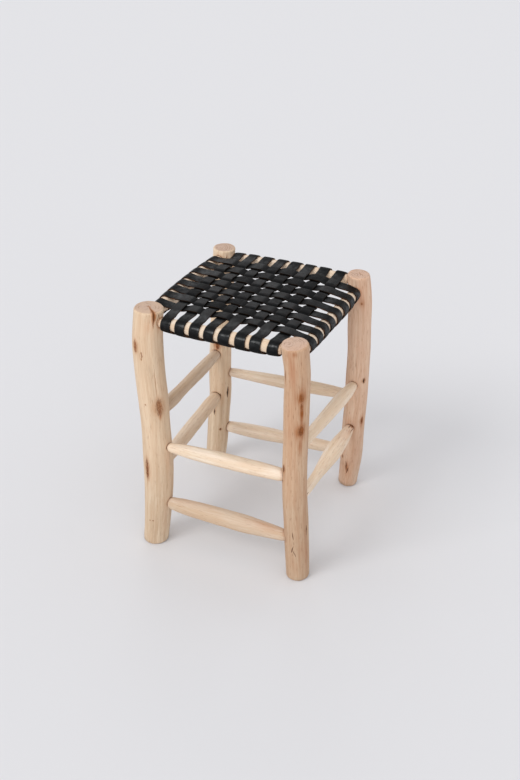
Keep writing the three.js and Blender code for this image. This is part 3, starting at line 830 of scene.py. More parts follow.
@dataclass
class Stick:
    """A rail or stretcher: a whittled round bar let into two legs."""

    form: StickForm
    radius: float
    standoff: float
    pair: tuple["Leg", "Leg"]
    seed: int
    knife: Whittling = Whittling()
    scrape: Ripples = Ripples(12, 6, (25.0, 160.0), 0.09)
    rows: int = 150
    columns: int = 96
    bore_rows: int = 60
    bore_columns: int = 64
    sharp_degrees: float = 60.0
    start: np.ndarray = field(init=False)
    direction: np.ndarray = field(init=False)
    outward: np.ndarray = field(init=False)
    upward: np.ndarray = field(init=False)
    length: float = field(init=False)
    faces: Pair = field(init=False)

    def __post_init__(self) -> None:
        """Works out where the stick lies from the legs that it joins."""
        outset = self.form.outset
        heights = np.array(self.form.height_shares) * SIZES.height
        ends = np.array([np.append(leg.axis(height), height) for leg, height in zip(self.pair, heights)])
        along = ends[1] - ends[0]
        self.outward = np.array([along[1], -along[0], 0.0]) / math.hypot(along[0], along[1])
        self.length = float(np.linalg.norm(along))
        self.direction = along / self.length
        self.start = ends[0] + self.outward * outset
        self.upward = np.cross(self.outward, self.direction)
        first, last = (
            math.sqrt(float(leg.girth(height)) ** 2 - outset**2) for leg, height in zip(self.pair, heights)
        )
        self.faces = (first, self.length - last)

    def girth(self, distance: np.ndarray) -> np.ndarray:
        """The stick's radius at a distance from its start.

        It is the smooth curve through its shares, and each tip is rounded as a quarter circle is.

        Args:
            distance: The distance.

        Returns:
            The radius at each distance.
        """
        first, last = self.faces
        shares = smooth_share(self.form.girth_shares, (distance - first) / (last - first))
        for pinch, inside in zip(self.form.tip_pinches, (distance - first, last - distance)):
            short = 1.0 - np.clip(inside / SIZES.tip_length, 0.0, 1.0)
            shares = shares * (1.0 - pinch * (1.0 - np.sqrt(1.0 - short**2)))
        return shares * self.radius

    def point(self, distance: np.ndarray) -> np.ndarray:
        """The points on its axis at these distances from its start."""
        return self.start + np.asarray(distance)[..., None] * self.direction

    def points_round(
        self, turn: np.ndarray, distance: np.ndarray, reach: np.ndarray
    ) -> tuple[np.ndarray, ...]:
        """Points at a reach from its axis.

        Args:
            turn: The angle from its outward way.
            distance: The distance along it.
            reach: The reach.

        Returns:
            How far they lie outwards and upwards of the axis, and the points.
        """
        across, up = reach * np.cos(turn), reach * np.sin(turn)
        grid = self.point(distance) + across[..., None] * self.outward + up[..., None] * self.upward
        return across, up, grid

    def distance_at(self, place: float, coordinate: int) -> float:
        """How far along it the axis reaches a place on the X or Y coordinate."""
        return (place - self.start[coordinate]) / self.direction[coordinate]

    def distance_below(self, flat: np.ndarray) -> np.ndarray:
        """How far along it, seen from above, points lie."""
        way = self.direction[:2]
        return (flat - self.start[:2]) @ way / (way @ way)

    def rim_distance(self, points: np.ndarray) -> np.ndarray:
        """How far points lie outside its side.

        Args:
            points: The points.

        Returns:
            The distance of each in millimetres, or the stick's length past its tips.
        """
        offset = points - self.start
        along = offset @ self.direction
        aside = np.linalg.norm(offset - along[:, None] * self.direction, axis=1)
        is_beside = (along > self.standoff) & (along < self.length - self.standoff)
        return np.where(is_beside, aside - self.girth(along), self.length)

    def rings(self, rows: int, columns: int, growth: float) -> tuple[np.ndarray, ...]:
        """The rings of a bar from tip to tip, each end ring drawn in by the tips' bevel.

        Args:
            rows: How many rings there are between the bevels.
            columns: How many points each ring has.
            growth: How much longer than the stick the bar is at each end.

        Returns:
            The angle of every point, its distance along the stick and how far it is drawn in.
        """
        first, last = self.standoff - growth, self.length - self.standoff + growth
        bevel = SIZES.tenon_chamfer
        inside = np.linspace(first + bevel, last - bevel, rows)
        distance = np.concatenate(([first], inside, [last]))
        inset = np.zeros(len(distance))
        inset[[0, -1]] = bevel
        turn = np.linspace(0.0, FULL_TURN, columns, endpoint=False)
        return tuple(np.broadcast_arrays(turn, distance[:, None], inset[:, None]))

    def skin(self) -> Skin:
        """The whittled skin: the round bar's radius times the flats, with a fine relief and its marks.

        Returns:
            The skin, with the values for its finish.
        """
        turn, distance, inset = self.rings(self.rows, self.columns, 0.0)
        girth = self.girth(distance)
        marks = WoodMarks.read(self.form.marks, turn, distance, girth)
        whittled = girth * self.knife.share(self.seed, self.length, turn, distance)
        scraped = self.scrape.relief(self.seed + 1, turn, distance)
        across, up, grid = self.points_round(turn, distance, whittled - inset + scraped + marks.relief)
        return Skin(grid, marks.fields() | {
            "place": Log(self.seed).place(across, up, distance),
            "mouth": np.minimum(*(leg.outside(grid) for leg in self.pair)),
            "sawn": np.zeros(turn.shape),
            "aged": np.full(turn.shape, self.form.aged),
        })

    def bore(self) -> Skin:
        """The plain round bar, grown all over, that cuts the stick's two mortises."""
        growth = SIZES.mortise_growth
        turn, distance, inset = self.rings(self.bore_rows, self.bore_columns, growth)
        return Skin(self.points_round(turn, distance, self.girth(distance) + growth - inset)[-1])

    def build(self, name: str, timber: "Timber") -> bpy.types.Object:
        """Makes the stick's piece in place of the node of this name, and returns it."""
        piece = make_object(f"{name}_whittled", [self.skin()], self.sharp_degrees)
        settle(piece, Finish.WHITTLED, timber.material(), name)
        return piece


@dataclass
class Leg:
    """A leg: a peeled branch, sawn off at both ends, with a blind mortise for each of its sticks."""

    form: LegForm
    seed: int
    shift: np.ndarray = field(default_factory=lambda: np.zeros(2))
    reliefs: tuple[Ripples, ...] = (
        Ripples(10, 3, (110.0, 420.0), 0.34),
        Ripples(16, 13, (90.0, 520.0), 0.15),
        Ripples(16, 34, (14.0, 90.0), 0.035),
    )
    levels: int = 330
    columns: int = 216
    arc_rings: int = 9
    cap_rings: int = 14
    cap_shares: Pair = (0.06, 0.94)
    dome: float = 1.1
    ridge_length: float = 2.3
    ridge_height: float = 0.035
    ridge_slant: float = 0.35
    check_wander: float = 0.5
    check_bends: float = 0.8
    head_rims: Pair = (2.2, 1.4)
    sawn_rims: Pair = (0.35, 0.8)

    def axis(self, height: np.ndarray) -> np.ndarray:
        """The leg's axis, seen from above.

        It is the straight line from foot to head, moved sideways by the bow.

        Args:
            height: The heights to read it at.

        Returns:
            The X and Y of the axis at each height.
        """
        share = np.asarray(height) / SIZES.height
        foot = np.array(self.form.foot_shares) * (SIZES.foot_width, SIZES.foot_depth)
        head = np.array(self.form.head_shares) * (SIZES.head_width, SIZES.head_depth)
        heading = np.array([math.cos(SIZES.bow_heading), math.sin(SIZES.bow_heading)])
        bow = smooth_share(self.form.bow_shares, share) * self.form.radius
        return foot + share[..., None] * (head - foot) + bow[..., None] * heading + self.shift

    def girth(self, height: np.ndarray) -> np.ndarray:
        """The leg's radius at these heights."""
        share = np.asarray(height) / SIZES.height
        return smooth_share(self.form.girth_shares, share) * self.form.radius

    def oval(self, turn: np.ndarray) -> np.ndarray:
        """The share by which the section swells and shrinks twice round the leg."""
        return 1.0 + self.form.oval_share * np.cos(2 * (turn - self.form.oval_turn_share * HALF_TURN))

    def outside(self, points: np.ndarray) -> np.ndarray:
        """How far points lie outside the leg's round side, in millimetres."""
        across, up = np.moveaxis(points[..., :2] - self.axis(points[..., 2]), -1, 0)
        return np.hypot(across, up) - self.girth(points[..., 2]) * self.oval(np.arctan2(up, across))

    def rings(self) -> tuple[np.ndarray, ...]:
        """The rings from the middle of the foot to the middle of the head.

        Returns:
            The angle of every point, its height, how far it draws in where the foot and rim are
            rounded, and the share of the radius that it lies at on the two sawn faces.
        """
        foot, rim, height = SIZES.foot_rounding, SIZES.rim_rounding, SIZES.height
        arc = np.linspace(0.0, QUARTER_TURN, self.arc_rings)
        cap = np.linspace(*self.cap_shares, self.cap_rings)
        side = np.linspace(foot, height - rim, self.levels + 2)[1:-1]
        heights = np.concatenate(
            (0 * cap, foot * (1 - np.cos(arc)), side, height - rim * (1 - np.sin(arc)), 0 * cap + height)
        )
        insets = np.concatenate(
            (0 * cap + foot, foot * (1 - np.sin(arc)), 0 * side, rim * (1 - np.cos(arc)), 0 * cap + rim)
        )
        shares = np.concatenate((cap, np.ones(2 * len(arc) + len(side)), cap[::-1]))
        turn = np.linspace(0.0, FULL_TURN, self.columns, endpoint=False)
        return tuple(np.broadcast_arrays(turn, heights[:, None], insets[:, None], shares[:, None]))

    def skin(self) -> Skin:
        """The branch's skin.

        The radius is the girth times the oval, with three reliefs and the marks. The head is tilted by
        the saw, a little domed, and split by checks.

        Returns:
            The skin, without values, which are worked out once its mortises are cut.
        """
        turn, height, inset, share = self.rings()
        girth = self.girth(height)
        layers = enumerate(self.reliefs)
        relief = sum(layer.relief(self.seed + number, turn, height) for number, layer in layers)
        marks = WoodMarks.read(self.form.marks, turn, height, girth).relief
        reach = (girth * self.oval(turn) + relief + marks - inset) * share
        across, up = reach * np.cos(turn), reach * np.sin(turn)
        centre = self.axis(height)
        lowering = self.head_lowering(across, up) * ease(height, SIZES.height - girth, SIZES.height)
        return Skin(np.stack((centre[..., 0] + across, centre[..., 1] + up, height - lowering), -1))

    def head_lowering(self, across: np.ndarray, up: np.ndarray) -> np.ndarray:
        """How far the sawn head lies below the full height.

        The saw's tilt is a plane, worn hands dome it by the square of the distance from its middle, the
        saw leaves faint even ridges, and each check is a groove.

        Args:
            across: How far points of the head lie from the axis along X.
            up: How far they lie from it along Y.

        Returns:
            The fall at each point.
        """
        tilt, radius = self.form.saw_tilt, self.form.radius
        fall = (np.hypot(*tilt) * radius) + tilt[0] * across + tilt[1] * up
        worn = self.dome * (across**2 + up**2) / radius**2
        ridges = self.ridge_height * np.cos(FULL_TURN * (across + self.ridge_slant * up) / self.ridge_length)
        grooves = 0.0
        for mark in self.form.marks:
            if mark.kind is CHECK:
                grooves = grooves + mark.depth * crack_section(*self.check_place(mark, across, up))[1]
        return fall + worn + ridges + grooves - self.form.head_rise

    def check_place(self, mark: Mark, across: np.ndarray, up: np.ndarray) -> tuple[np.ndarray, np.ndarray]:
        """Where points of the head lie in a check that runs out from the pith and wanders as a sine does.

        Args:
            mark: The check.
            across: How far the points lie from the axis along X.
            up: How far they lie from it along Y.

        Returns:
            How far they lie beside it in half widths, and along it in half lengths.
        """
        way = math.radians(mark.turn)
        out = across * math.cos(way) + up * math.sin(way)
        aside = up * math.cos(way) - across * math.sin(way)
        wander = self.check_wander * np.sin(out * self.check_bends + mark.turn)
        return (aside - wander) / mark.half_width, (out - mark.along) / mark.half_length

    def fields(self, points: np.ndarray, sticks: list[Stick]) -> dict[str, np.ndarray]:
        """Works out the finish's fields from where the leg's points lie.

        Args:
            points: The leg's points.
            sticks: The sticks let into it.

        Returns:
            Its log coordinates, its marks' fields, how far each point is from a mortise's mouth, how
            much of it is sawn face and how aged it is.
        """
        height = points[:, 2]
        across, up = (points[:, :2] - self.axis(height)).T
        marks = WoodMarks.read(self.form.marks, np.arctan2(up, across), height, self.girth(height))
        rim = SIZES.rim_rounding
        head_start, head_whole = (SIZES.height - rims * rim for rims in self.head_rims)
        for mark in self.form.marks:
            if mark.kind is CHECK:
                marks.cracks.lay(mark, *self.check_place(mark, across, up), height > head_start)
        head, foot = ease(height, head_start, head_whole), 1.0 - ease(height, 0.0, rim)
        inside = ease(-self.outside(points), *(rims * rim for rims in self.sawn_rims))
        sawn = inside * np.maximum(head, foot)
        return marks.fields() | {
            "place": Log(self.seed).place(across, up, height),
            "mouth": np.min([stick.rim_distance(points) for stick in sticks], axis=0),
            "sawn": sawn,
            "aged": self.form.aged * (1.0 - sawn),
        }

    def build(self, name: str, sticks: list[Stick], timber: "Timber") -> bpy.types.Object:
        """Makes the leg's piece in place of its node, with its mortises cut.

        Args:
            name: The node's name.
            sticks: The sticks let into it.
            timber: Its wood.

        Returns:
            The finished piece.
        """
        piece = make_object(f"{name}_branch", [self.skin()])
        cutter = make_object(f"{name}_cutter", [stick.bore() for stick in sticks])
        cut = piece.modifiers.new("mortises", "BOOLEAN")
        cut.operation, cut.solver, cut.object = "DIFFERENCE", "EXACT", cutter
        bpy.context.view_layer.update()
        evaluated = piece.evaluated_get(bpy.context.evaluated_depsgraph_get())
        finished = bpy.data.meshes.new_from_object(evaluated)
        piece.modifiers.clear()
        piece.data = finished
        bpy.data.objects.remove(cutter)
        smooth_shading(finished)
        for key, values in self.fields(read_points(finished), sticks).items():
            put_values(finished, key, values)
        settle(piece, self.form.finish, timber.material(), name)
        return piece


# Seat

LEAST_WEIGHT = 1e-9


class Course(Enum):
    """Which way a strap runs: a warp from front to back, a weft from left to right."""

    WARP = "warp"
    WEFT = "weft"


@dataclass
class StrapPlan:
    """A strap seen from above."""

    starts: np.ndarray
    ends: np.ndarray
    width: float

    def crossings(self, other: "StrapPlan") -> np.ndarray:
        """Where another strap's edges cross this one's.

        Args:
            other: The other strap's plan.

        Returns:
            Shares of this strap's length, one row for each of its own edges and in each the nearer
            and the farther edge of the other strap.
        """
        way = self.ends - self.starts
        other_way = other.ends - other.starts
        turn = way[:, None, 0] * other_way[None, :, 1] - way[:, None, 1] * other_way[None, :, 0]
        gap = other.starts[None] - self.starts[:, None]
        share = (gap[..., 0] * other_way[None, :, 1] - gap[..., 1] * other_way[None, :, 0]) / turn
        return np.sort(share, axis=1)


@dataclass
class Seat:
    """The woven seat: two sets of straps, each turned round two rails and tacked under them."""

    rails: dict[str, Stick]
    gap_ease_share: float = 0.35
    lift_share: float = 0.78
    plans: dict[Course, list[StrapPlan]] = field(init=False)

    def __post_init__(self) -> None:
        """Lays out every strap over the rails."""
        self.plans = {
            Course.WARP: self.lay_out(WARP_FORM, SIZES.head_width, 0),
            Course.WEFT: self.lay_out(WEFT_FORM, SIZES.head_depth, 1),
        }

    def lay_out(self, form: StrapForm, frame_size: float, coordinate: int) -> list[StrapPlan]:
        """The plans of the straps that run one way.

        Args:
            form: Where they lie.
            frame_size: The size of the seat frame that their places are shares of.
            coordinate: 0 where they are spaced along X, 1 along Y.

        Returns:
            One plan for each strap.
        """
        plans = []
        first, last = (self.rails[rail] for rail in form.rails)
        shift = first.pair[0].shift[coordinate]
        for start, end, width_share in zip(form.start_shares, form.end_shares, form.width_shares):
            middles = [
                rail.point(rail.distance_at(share * frame_size + shift, coordinate))[:2]
                for rail, share in ((first, start), (last, end))
            ]
            way = middles[1] - middles[0]
            way = way / np.linalg.norm(way)
            across = np.array([way[1], -way[0]])
            width = width_share * SIZES.strap_width
            edges = [
                [self.meet(rail, middles[0] + side * across * width / 2, way) for side in (-1, 1)]
                for rail in (first, last)
            ]
            plans.append(StrapPlan(np.array(edges[0]), np.array(edges[1]), width))
        return plans

    @staticmethod
    def meet(rail: Stick, origin: np.ndarray, way: np.ndarray) -> np.ndarray:
        """Where a line from an origin crosses a rail's axis, seen from above."""
        rail_way = rail.direction[:2]
        turn = way[0] * rail_way[1] - way[1] * rail_way[0]
        gap = rail.start[:2] - origin
        return origin + way * (gap[0] * rail_way[1] - gap[1] * rail_way[0]) / turn

    def rail_top(self, rail: Stick, flat: np.ndarray) -> np.ndarray:
        """The height of a strap's middle layer where it lies on top of a rail."""
        distance = rail.distance_below(flat)
        lift = SIZES.strap_clearance + SIZES.strap_thickness / 2
        return rail.point(distance)[..., 2] + rail.girth(distance) + lift

    def height(self, flat: np.ndarray) -> np.ndarray:
        """The height of the seat's middle surface.

        Each pair of rails gives a ruled surface. The two are blended with weights that vanish at the
        other pair's rails, so the surface meets all four.

        Args:
            flat: Points seen from above.

        Returns:
            The height at each point.
        """
        away = {
            name: np.abs((flat - rail.start[:2]) @ rail.outward[:2]) for name, rail in self.rails.items()
        }
        v = away["front"] / (away["front"] + away["back"])
        u = away["left"] / (away["left"] + away["right"])
        tops = {name: self.rail_top(rail, flat) for name, rail in self.rails.items()}
        by_warps = tops["front"] * (1 - v) + tops["back"] * v
        by_wefts = tops["left"] * (1 - u) + tops["right"] * u
        warp_weight, weft_weight = u * (1 - u) + LEAST_WEIGHT, v * (1 - v) + LEAST_WEIGHT
        return (by_warps * warp_weight + by_wefts * weft_weight) / (warp_weight + weft_weight)


@dataclass
class Section:
    """A strap's section: a rectangle with rounded corners, as points in order round it."""

    half_thickness: float
    corner: float = 0.5
    across_points: int = 9
    corner_points: int = 4
    under_share: float = 0.3
    side: np.ndarray = field(init=False)
    inset: np.ndarray = field(init=False)
    layer: np.ndarray = field(init=False)
    cut: np.ndarray = field(init=False)
    under: np.ndarray = field(init=False)

    def __post_init__(self) -> None:
        """Works out the points of the upper half, and turns them half round for the lower one."""
        half, corner = self.half_thickness, self.corner
        top = np.linspace(-1.0, 1.0, self.across_points)
        arc = np.linspace(0.0, QUARTER_TURN, self.corner_points)
        down, back = arc[1:], arc[:-1]
        side = np.concatenate((top, 0 * down + 1, 0 * back + 1))
        draw = (np.abs(top) == 1.0, 1 - np.sin(down), 1 - np.cos(back))
        inset = corner * np.concatenate(draw)
        bends = (half - corner * (1 - np.cos(down)), corner * (1 - np.sin(back)) - half)
        layer = np.concatenate((0 * top + half, *bends))
        cut = np.concatenate((0 * top, np.sin(down), np.cos(back)))
        self.side, self.layer = (np.concatenate((values, -values)) for values in (side, layer))
        self.inset, self.cut = (np.concatenate((values, values)) for values in (inset, cut))
        self.under = (self.layer < -self.under_share * half).astype(float)


@dataclass
class Strap:
    """One leather strap, from its tail under one rail over and under the others to the other tail."""

    seat: Seat
    course: Course
    index: int
    seed: int
    rows_over_strap: int = 8
    rows_in_gap: int = 10
    rows_round_rail: int = 36
    arch: float = 0.5
    swell: float = 0.4
    cup: float = 0.3
    slack_turn: float = math.radians(148.0)
    slack_spread: float = math.radians(28.0)
    most_slack: float = 1.6
    slack_power: float = 1.5
    shine_turn: float = math.radians(52.0)
    shine_spread: float = math.radians(30.0)
    row_shine: float = 0.35
    shine_row: float = 6.0
    shine_rows: float = 4.0
    most_sheen: float = 2.2
    open_rows: Pair = (1.2, 1.35)
    hide_step: float = 37.0
    tip_shrink: float = 0.9
    tip_reach: float = 0.35
    waver: Ripples = Ripples(8, 1, (20.0, 110.0), 0.32)
    sharp_degrees: float = 70.0
    is_warp: bool = field(init=False)
    form: StrapForm = field(init=False)
    plan: StrapPlan = field(init=False)
    others: list[StrapPlan] = field(init=False)
    section: Section = field(init=False)

    def __post_init__(self) -> None:
        """Finds the strap's plan, the straps that cross it and its section."""
        self.is_warp = self.course is Course.WARP
        self.form = WARP_FORM if self.is_warp else WEFT_FORM
        self.plan = self.seat.plans[self.course][self.index]
        self.others = self.seat.plans[Course.WEFT if self.is_warp else Course.WARP]
        self.section = Section(SIZES.strap_thickness / 2)

    def woven_rows(self) -> tuple[np.ndarray, np.ndarray]:
        """The rows across the seat, and how far each lies over or under its middle surface.

        Rows follow the edges of the straps that cross. Over a crossing strap the offset is whole, and
        in the gap between two it changes sides along an eased step that reaches a little over both.

        Returns:
            Shares of the length for both edges, two columns wide, and the offset of each row.
        """
        crossed = np.array([self.plan.crossings(other) for other in self.others])
        order = np.argsort(crossed[:, 0, 0])
        crossed = crossed[order]
        knots = np.concatenate(([[0.0, 0.0]], crossed.transpose(0, 2, 1).reshape(-1, 2), [[1.0, 1.0]]))
        rows = []
        for number, (near, far) in enumerate(zip(knots[:-1], knots[1:])):
            count = self.rows_in_gap if number % 2 == 0 else self.rows_over_strap
            steps = np.linspace(0.0, 1.0, count, endpoint=False)[:, None]
            rows.append(near + steps * (far - near))
        shares = np.concatenate((*rows, [[1.0, 1.0]]))
        length = np.linalg.norm(self.plan.ends - self.plan.starts, axis=1).mean()
        middles, places = knots.mean(1) * length, shares.mean(1) * length
        lift = (SIZES.strap_thickness + SIZES.strap_clearance / 2) / 2 / self.seat.lift_share
        signs = np.array([
            1.0 if ((self.index + number) % 2 == 0) == self.is_warp else -1.0 for number in order
        ])
        levels = np.concatenate(([0.0], signs, [0.0])) * lift
        offset = np.full(len(places), levels[0])
        for number in range(len(signs) + 1):
            low, high = middles[2 * number], middles[2 * number + 1]
            reach = self.seat.gap_ease_share * (high - low)
            low = low - (reach if number > 0 else 0.0)
            high = high + (reach if number < len(signs) else 0.0)
            offset += (levels[number + 1] - levels[number]) * ease(places, low, high)
        crests = np.maximum(offset / lift, 0.0)
        return shares, offset + self.arch * crests**2

    def woven_part(self) -> tuple[np.ndarray, np.ndarray]:
        """The strap's points across the seat.

        A point is on the line between the two edges at its side share, on the seat's middle surface
        plus the weave's offset, and off that path by its layer, square to the path's slope.

        Returns:
            The grid of points, and how far each row lies over the middle surface.
        """
        shares, offset = self.woven_rows()
        plan = self.plan
        near = plan.starts[0] + shares[:, :1] * (plan.ends[0] - plan.starts[0])
        far = plan.starts[1] + shares[:, 1:] * (plan.ends[1] - plan.starts[1])
        across = (far - near) / np.linalg.norm(far - near, axis=1)[:, None]
        swell = self.swell * np.sin(HALF_TURN * shares.mean(1))[:, None] * across
        near, far = near - swell, far + swell
        way = np.gradient((near + far) / 2, axis=0)
        step = np.linalg.norm(way, axis=1)
        way = way / step[:, None]
        rise = np.gradient(self.seat.height((near + far) / 2) + offset)
        slope = np.arctan2(rise, step)
        flat, layer = self.spread(near, far, across, np.cumsum(step))
        flat = flat - (layer * np.sin(slope)[:, None])[..., None] * way[:, None]
        height = self.seat.height(flat) + offset[:, None] + layer * np.cos(slope)[:, None]
        return np.concatenate((flat, height[..., None]), -1), offset

    def spread(
        self, near: np.ndarray, far: np.ndarray, across: np.ndarray, along: np.ndarray
    ) -> tuple[np.ndarray, np.ndarray]:
        """Spreads the section over each row between its two edges, which waver as cut by hand.

        Args:
            near: The near edge's points.
            far: The far edge's points.
            across: The way from near to far in each row.
            along: The distance along the strap of each row.

        Returns:
            The points, and each one's layer.
        """
        starts = [np.full(len(along), turn) for turn in (0.0, HALF_TURN)]
        near_shift, far_shift = (self.waver.relief(self.seed, turn, along)[:, None] for turn in starts)
        side, inset = self.section.side, self.section.inset
        share = (side + 1) / 2
        aside = near_shift * (1 - share) + far_shift * share - np.sign(side) * (np.abs(side) == 1.0) * inset
        points = near[:, None] + share[:, None] * (far - near)[:, None] + aside[..., None] * across[:, None]
        layer = self.section.layer + self.cup * (1 - side**2)
        return points, np.broadcast_to(layer, points.shape[:2])

    def turned_part(
        self, rail: Stick, edges: np.ndarray, outward_sign: int, slant_share: float
    ) -> np.ndarray:
        """The strap's points round a rail, from its top to the tip of the tail.

        A row at a sweep from the top lies on the rail's radius turned that far outwards and down, past
        the rail's own radius by the strap's layer. Under the rail the far edge slides along it by the
        sine of the slant's progress and the near one by one minus its cosine. Each turn is a little slack
        low on its outer side, by a bell curve of the sweep.

        Args:
            rail: The rail.
            edges: The two points over the rail that the strap's edges pass.
            outward_sign: 1 where the rail's outward way is the strap's, -1 where it is the other way.
            slant_share: The tail's slant, as a share of the common one.

        Returns:
            The grid of points, one row for each sweep.
        """
        whole = HALF_TURN + SIZES.tail_turn
        sweep = np.linspace(0.0, whole, self.rows_round_rail)
        start = SIZES.slide_start
        lead = QUARTER_TURN * np.maximum(0.0, sweep - start) / (whole - start)
        near_slide = slant_share * SIZES.tail_slant * (1 - np.cos(lead))
        far_slide = slant_share * (SIZES.tail_slant + SIZES.tail_spread) * np.sin(lead)
        near, far = rail.distance_below(edges)
        near, far = near + near_slide, far + far_slide
        way, flat = np.sign(far - near), np.zeros((len(sweep), 1))
        spread, layer = self.spread(
            near[:, None] + flat, far[:, None] + flat, way[:, None] + flat, -sweep * rail.radius
        )
        distance = spread[..., 0]
        turn = QUARTER_TURN - sweep
        radial = np.outer(np.cos(turn) * outward_sign, rail.outward) + np.outer(np.sin(turn), [0, 0, 1])
        lift = SIZES.strap_clearance + SIZES.strap_thickness / 2
        share = np.random.default_rng(self.seed + outward_sign).uniform() ** self.slack_power
        loose = self.most_slack * share * bell(sweep, self.slack_turn, self.slack_spread)[:, None]
        reach = rail.girth(distance) + lift + layer + loose
        return rail.point(distance) + reach[..., None] * radial[:, None]

    def turned_ends(self) -> list[tuple[Stick, int, np.ndarray]]:
        """The turned parts at both ends of the strap.

        Returns:
            For each its rail, 1 or -1 for the side of the rail that it turns down on, and its points.
        """
        sign = 1 if self.is_warp else -1
        slants = self.form.start_slant_shares[self.index], self.form.end_slant_shares[self.index]
        ends = zip(self.form.rails, (self.plan.starts, self.plan.ends), (sign, -sign), slants)
        turned = []
        for name, edges, outward_sign, slant in ends:
            rail = self.seat.rails[name]
            turned.append((rail, outward_sign, self.turned_part(rail, edges, outward_sign, slant)))
        return turned

    def skin(self) -> Skin:
        """Joins the strap's parts into one skin, from tail to tail.

        Returns:
            The skin, with its values for the leather.
        """
        woven, offset = self.woven_part()
        first, last = (rows for _, _, rows in self.turned_ends())
        grid = self.close_tips(np.concatenate((first[:0:-1], woven, last[1:])))
        shape = grid.shape[:2]
        rows = np.arange(shape[0])
        past = np.minimum(rows, shape[0] - 1 - rows)[:, None]
        tip = np.broadcast_to((past < 1).astype(float), shape)
        steps = np.linalg.norm(np.diff(grid.mean(1), axis=0), axis=1)
        along = np.concatenate(([0.0], np.cumsum(steps)))[:, None]
        open_start, open_end = (turns * self.rows_round_rail for turns in self.open_rows)
        section, half_width = self.section, self.plan.width / 2
        values = {
            "cut": np.maximum(section.cut, tip),
            "under": section.under * (1 - tip),
            "edge": half_width * (1 - np.abs(section.side)),
            "bend": self.bends(len(offset)),
            "crest": self.crests(offset),
            # open_edge marks the rows near the rails, where the cut edges are not darkened as painted shade.
            "open_edge": 1.0 - ease(past, open_start, open_end),
            "tone": np.random.default_rng(self.seed + 5).uniform(),
        }
        place = (section.side * half_width + self.hide_step * self.seed, along, section.layer)
        return Skin(grid, {
            "place": np.stack([np.broadcast_to(each, shape) for each in place], -1) * MM,
            **{key: np.broadcast_to(each, shape) for key, each in values.items()},
        })

    def bends(self, count: int) -> np.ndarray:
        """How polished each row is by its bend: most round the rails, and a little just past them.

        Args:
            count: How many rows lie across the seat.

        Returns:
            The polish of each row, as a column.
        """
        sweep = np.linspace(HALF_TURN + SIZES.tail_turn, 0.0, self.rows_round_rail)
        shine = bell(sweep, self.shine_turn, self.shine_spread)
        steps = np.arange(count)
        level = sum(bell(each, self.shine_row, self.shine_rows) for each in (steps, steps[::-1]))
        return np.concatenate((shine, self.row_shine * level, shine[::-1]))[:, None]

    def crests(self, offset: np.ndarray) -> np.ndarray:
        """How much sheen each row has where the strap rises over another, by a random amount each time.

        Args:
            offset: How far each row lies over the seat's middle surface.

        Returns:
            The sheen of each row, as a column.
        """
        amounts = np.random.default_rng(self.seed + 9).uniform(0.0, self.most_sheen, len(self.others) + 1)
        amounts = np.repeat(amounts, len(offset) // len(amounts) + 1)[:len(offset)]
        rise = np.clip(offset / offset.max(), 0.0, 1.0) * amounts
        turned = np.zeros(self.rows_round_rail)
        return np.concatenate((turned, rise, turned))[:, None]

    def close_tips(self, grid: np.ndarray) -> np.ndarray:
        """Adds a smaller ring just past each tip, so that the cut end has softened edges.

        Args:
            grid: The strap's points.

        Returns:
            The points with these two rings.
        """
        tips = []
        for tip, inner in ((grid[0], grid[1]), (grid[-1], grid[-2])):
            middle = tip.mean(0)
            way = middle - inner.mean(0)
            past = way / np.linalg.norm(way) * self.tip_reach
            tips.append(middle + (tip - middle) * self.tip_shrink + past)
        return np.concatenate((tips[0][None], grid, tips[1][None]))

    def build(self, name: str, leather: "Leather") -> bpy.types.Object:
        """Makes the strap's piece in place of the node of this name, and returns it."""
        piece = make_object(f"{name}_leather", [self.skin()], self.sharp_degrees)
        settle(piece, Finish.LEATHER, leather.material(), name)
        return piece


@dataclass(frozen=True)
class Tacks:
    """The small domed tacks, one under each tail, that hold the straps to the rails."""

    head_radius: float = 2.6
    dome_height: float = 0.9
    columns: int = 12
    radius_shares: Shares = (0.98, 1.0, 0.92, 0.72, 0.42, 0.12)
    height_shares: Shares = (-0.5, 0.0, 0.35, 0.7, 0.94, 1.0)
    aside_way: Triple = (0.31, 0.58, 0.75)
    sweep_share: float = 0.9

    def head(self, foot: np.ndarray, outward: np.ndarray) -> Skin:
        """One tack's head: a low dome of rings.

        Args:
            foot: The middle of the head's underside.
            outward: The way that the head faces.

        Returns:
            The head's skin.
        """
        radius = self.head_radius * np.array(self.radius_shares)
        height = self.dome_height * np.array(self.height_shares)
        turn = np.linspace(0.0, FULL_TURN, self.columns, endpoint=False)
        side = np.cross(outward, self.aside_way)
        side = side / np.linalg.norm(side)
        other = np.cross(outward, side)
        ring = np.cos(turn)[:, None] * side + np.sin(turn)[:, None] * other
        return Skin(foot + radius[:, None, None] * ring + (height[:, None] * outward)[:, None])

    def build(self, straps: list[Strap], material: bpy.types.Material) -> bpy.types.Object:
        """Makes all the tacks as one piece.

        Args:
            straps: The straps that they hold.
            material: Their iron.

        Returns:
            The finished piece.
        """
        turn = QUARTER_TURN - self.sweep_share * (HALF_TURN + SIZES.tail_turn)
        heads = []
        for strap in straps:
            is_upper = strap.section.layer == strap.section.layer.max()
            for rail, outward_sign, rows in strap.turned_ends():
                row = rows[int(self.sweep_share * (len(rows) - 1))]
                outward = rail.outward * math.cos(turn) * outward_sign + np.array([0, 0, math.sin(turn)])
                heads.append(self.head(row[is_upper].mean(0), outward))
        piece = make_object("strap_tacks", heads)
        settle(piece, None, material)
        return piece


# Finishes

SRGB_KNEE = 0.04045
SRGB_SLOPE = 12.92
SRGB_LIFT = 0.055
SRGB_POWER = 2.4


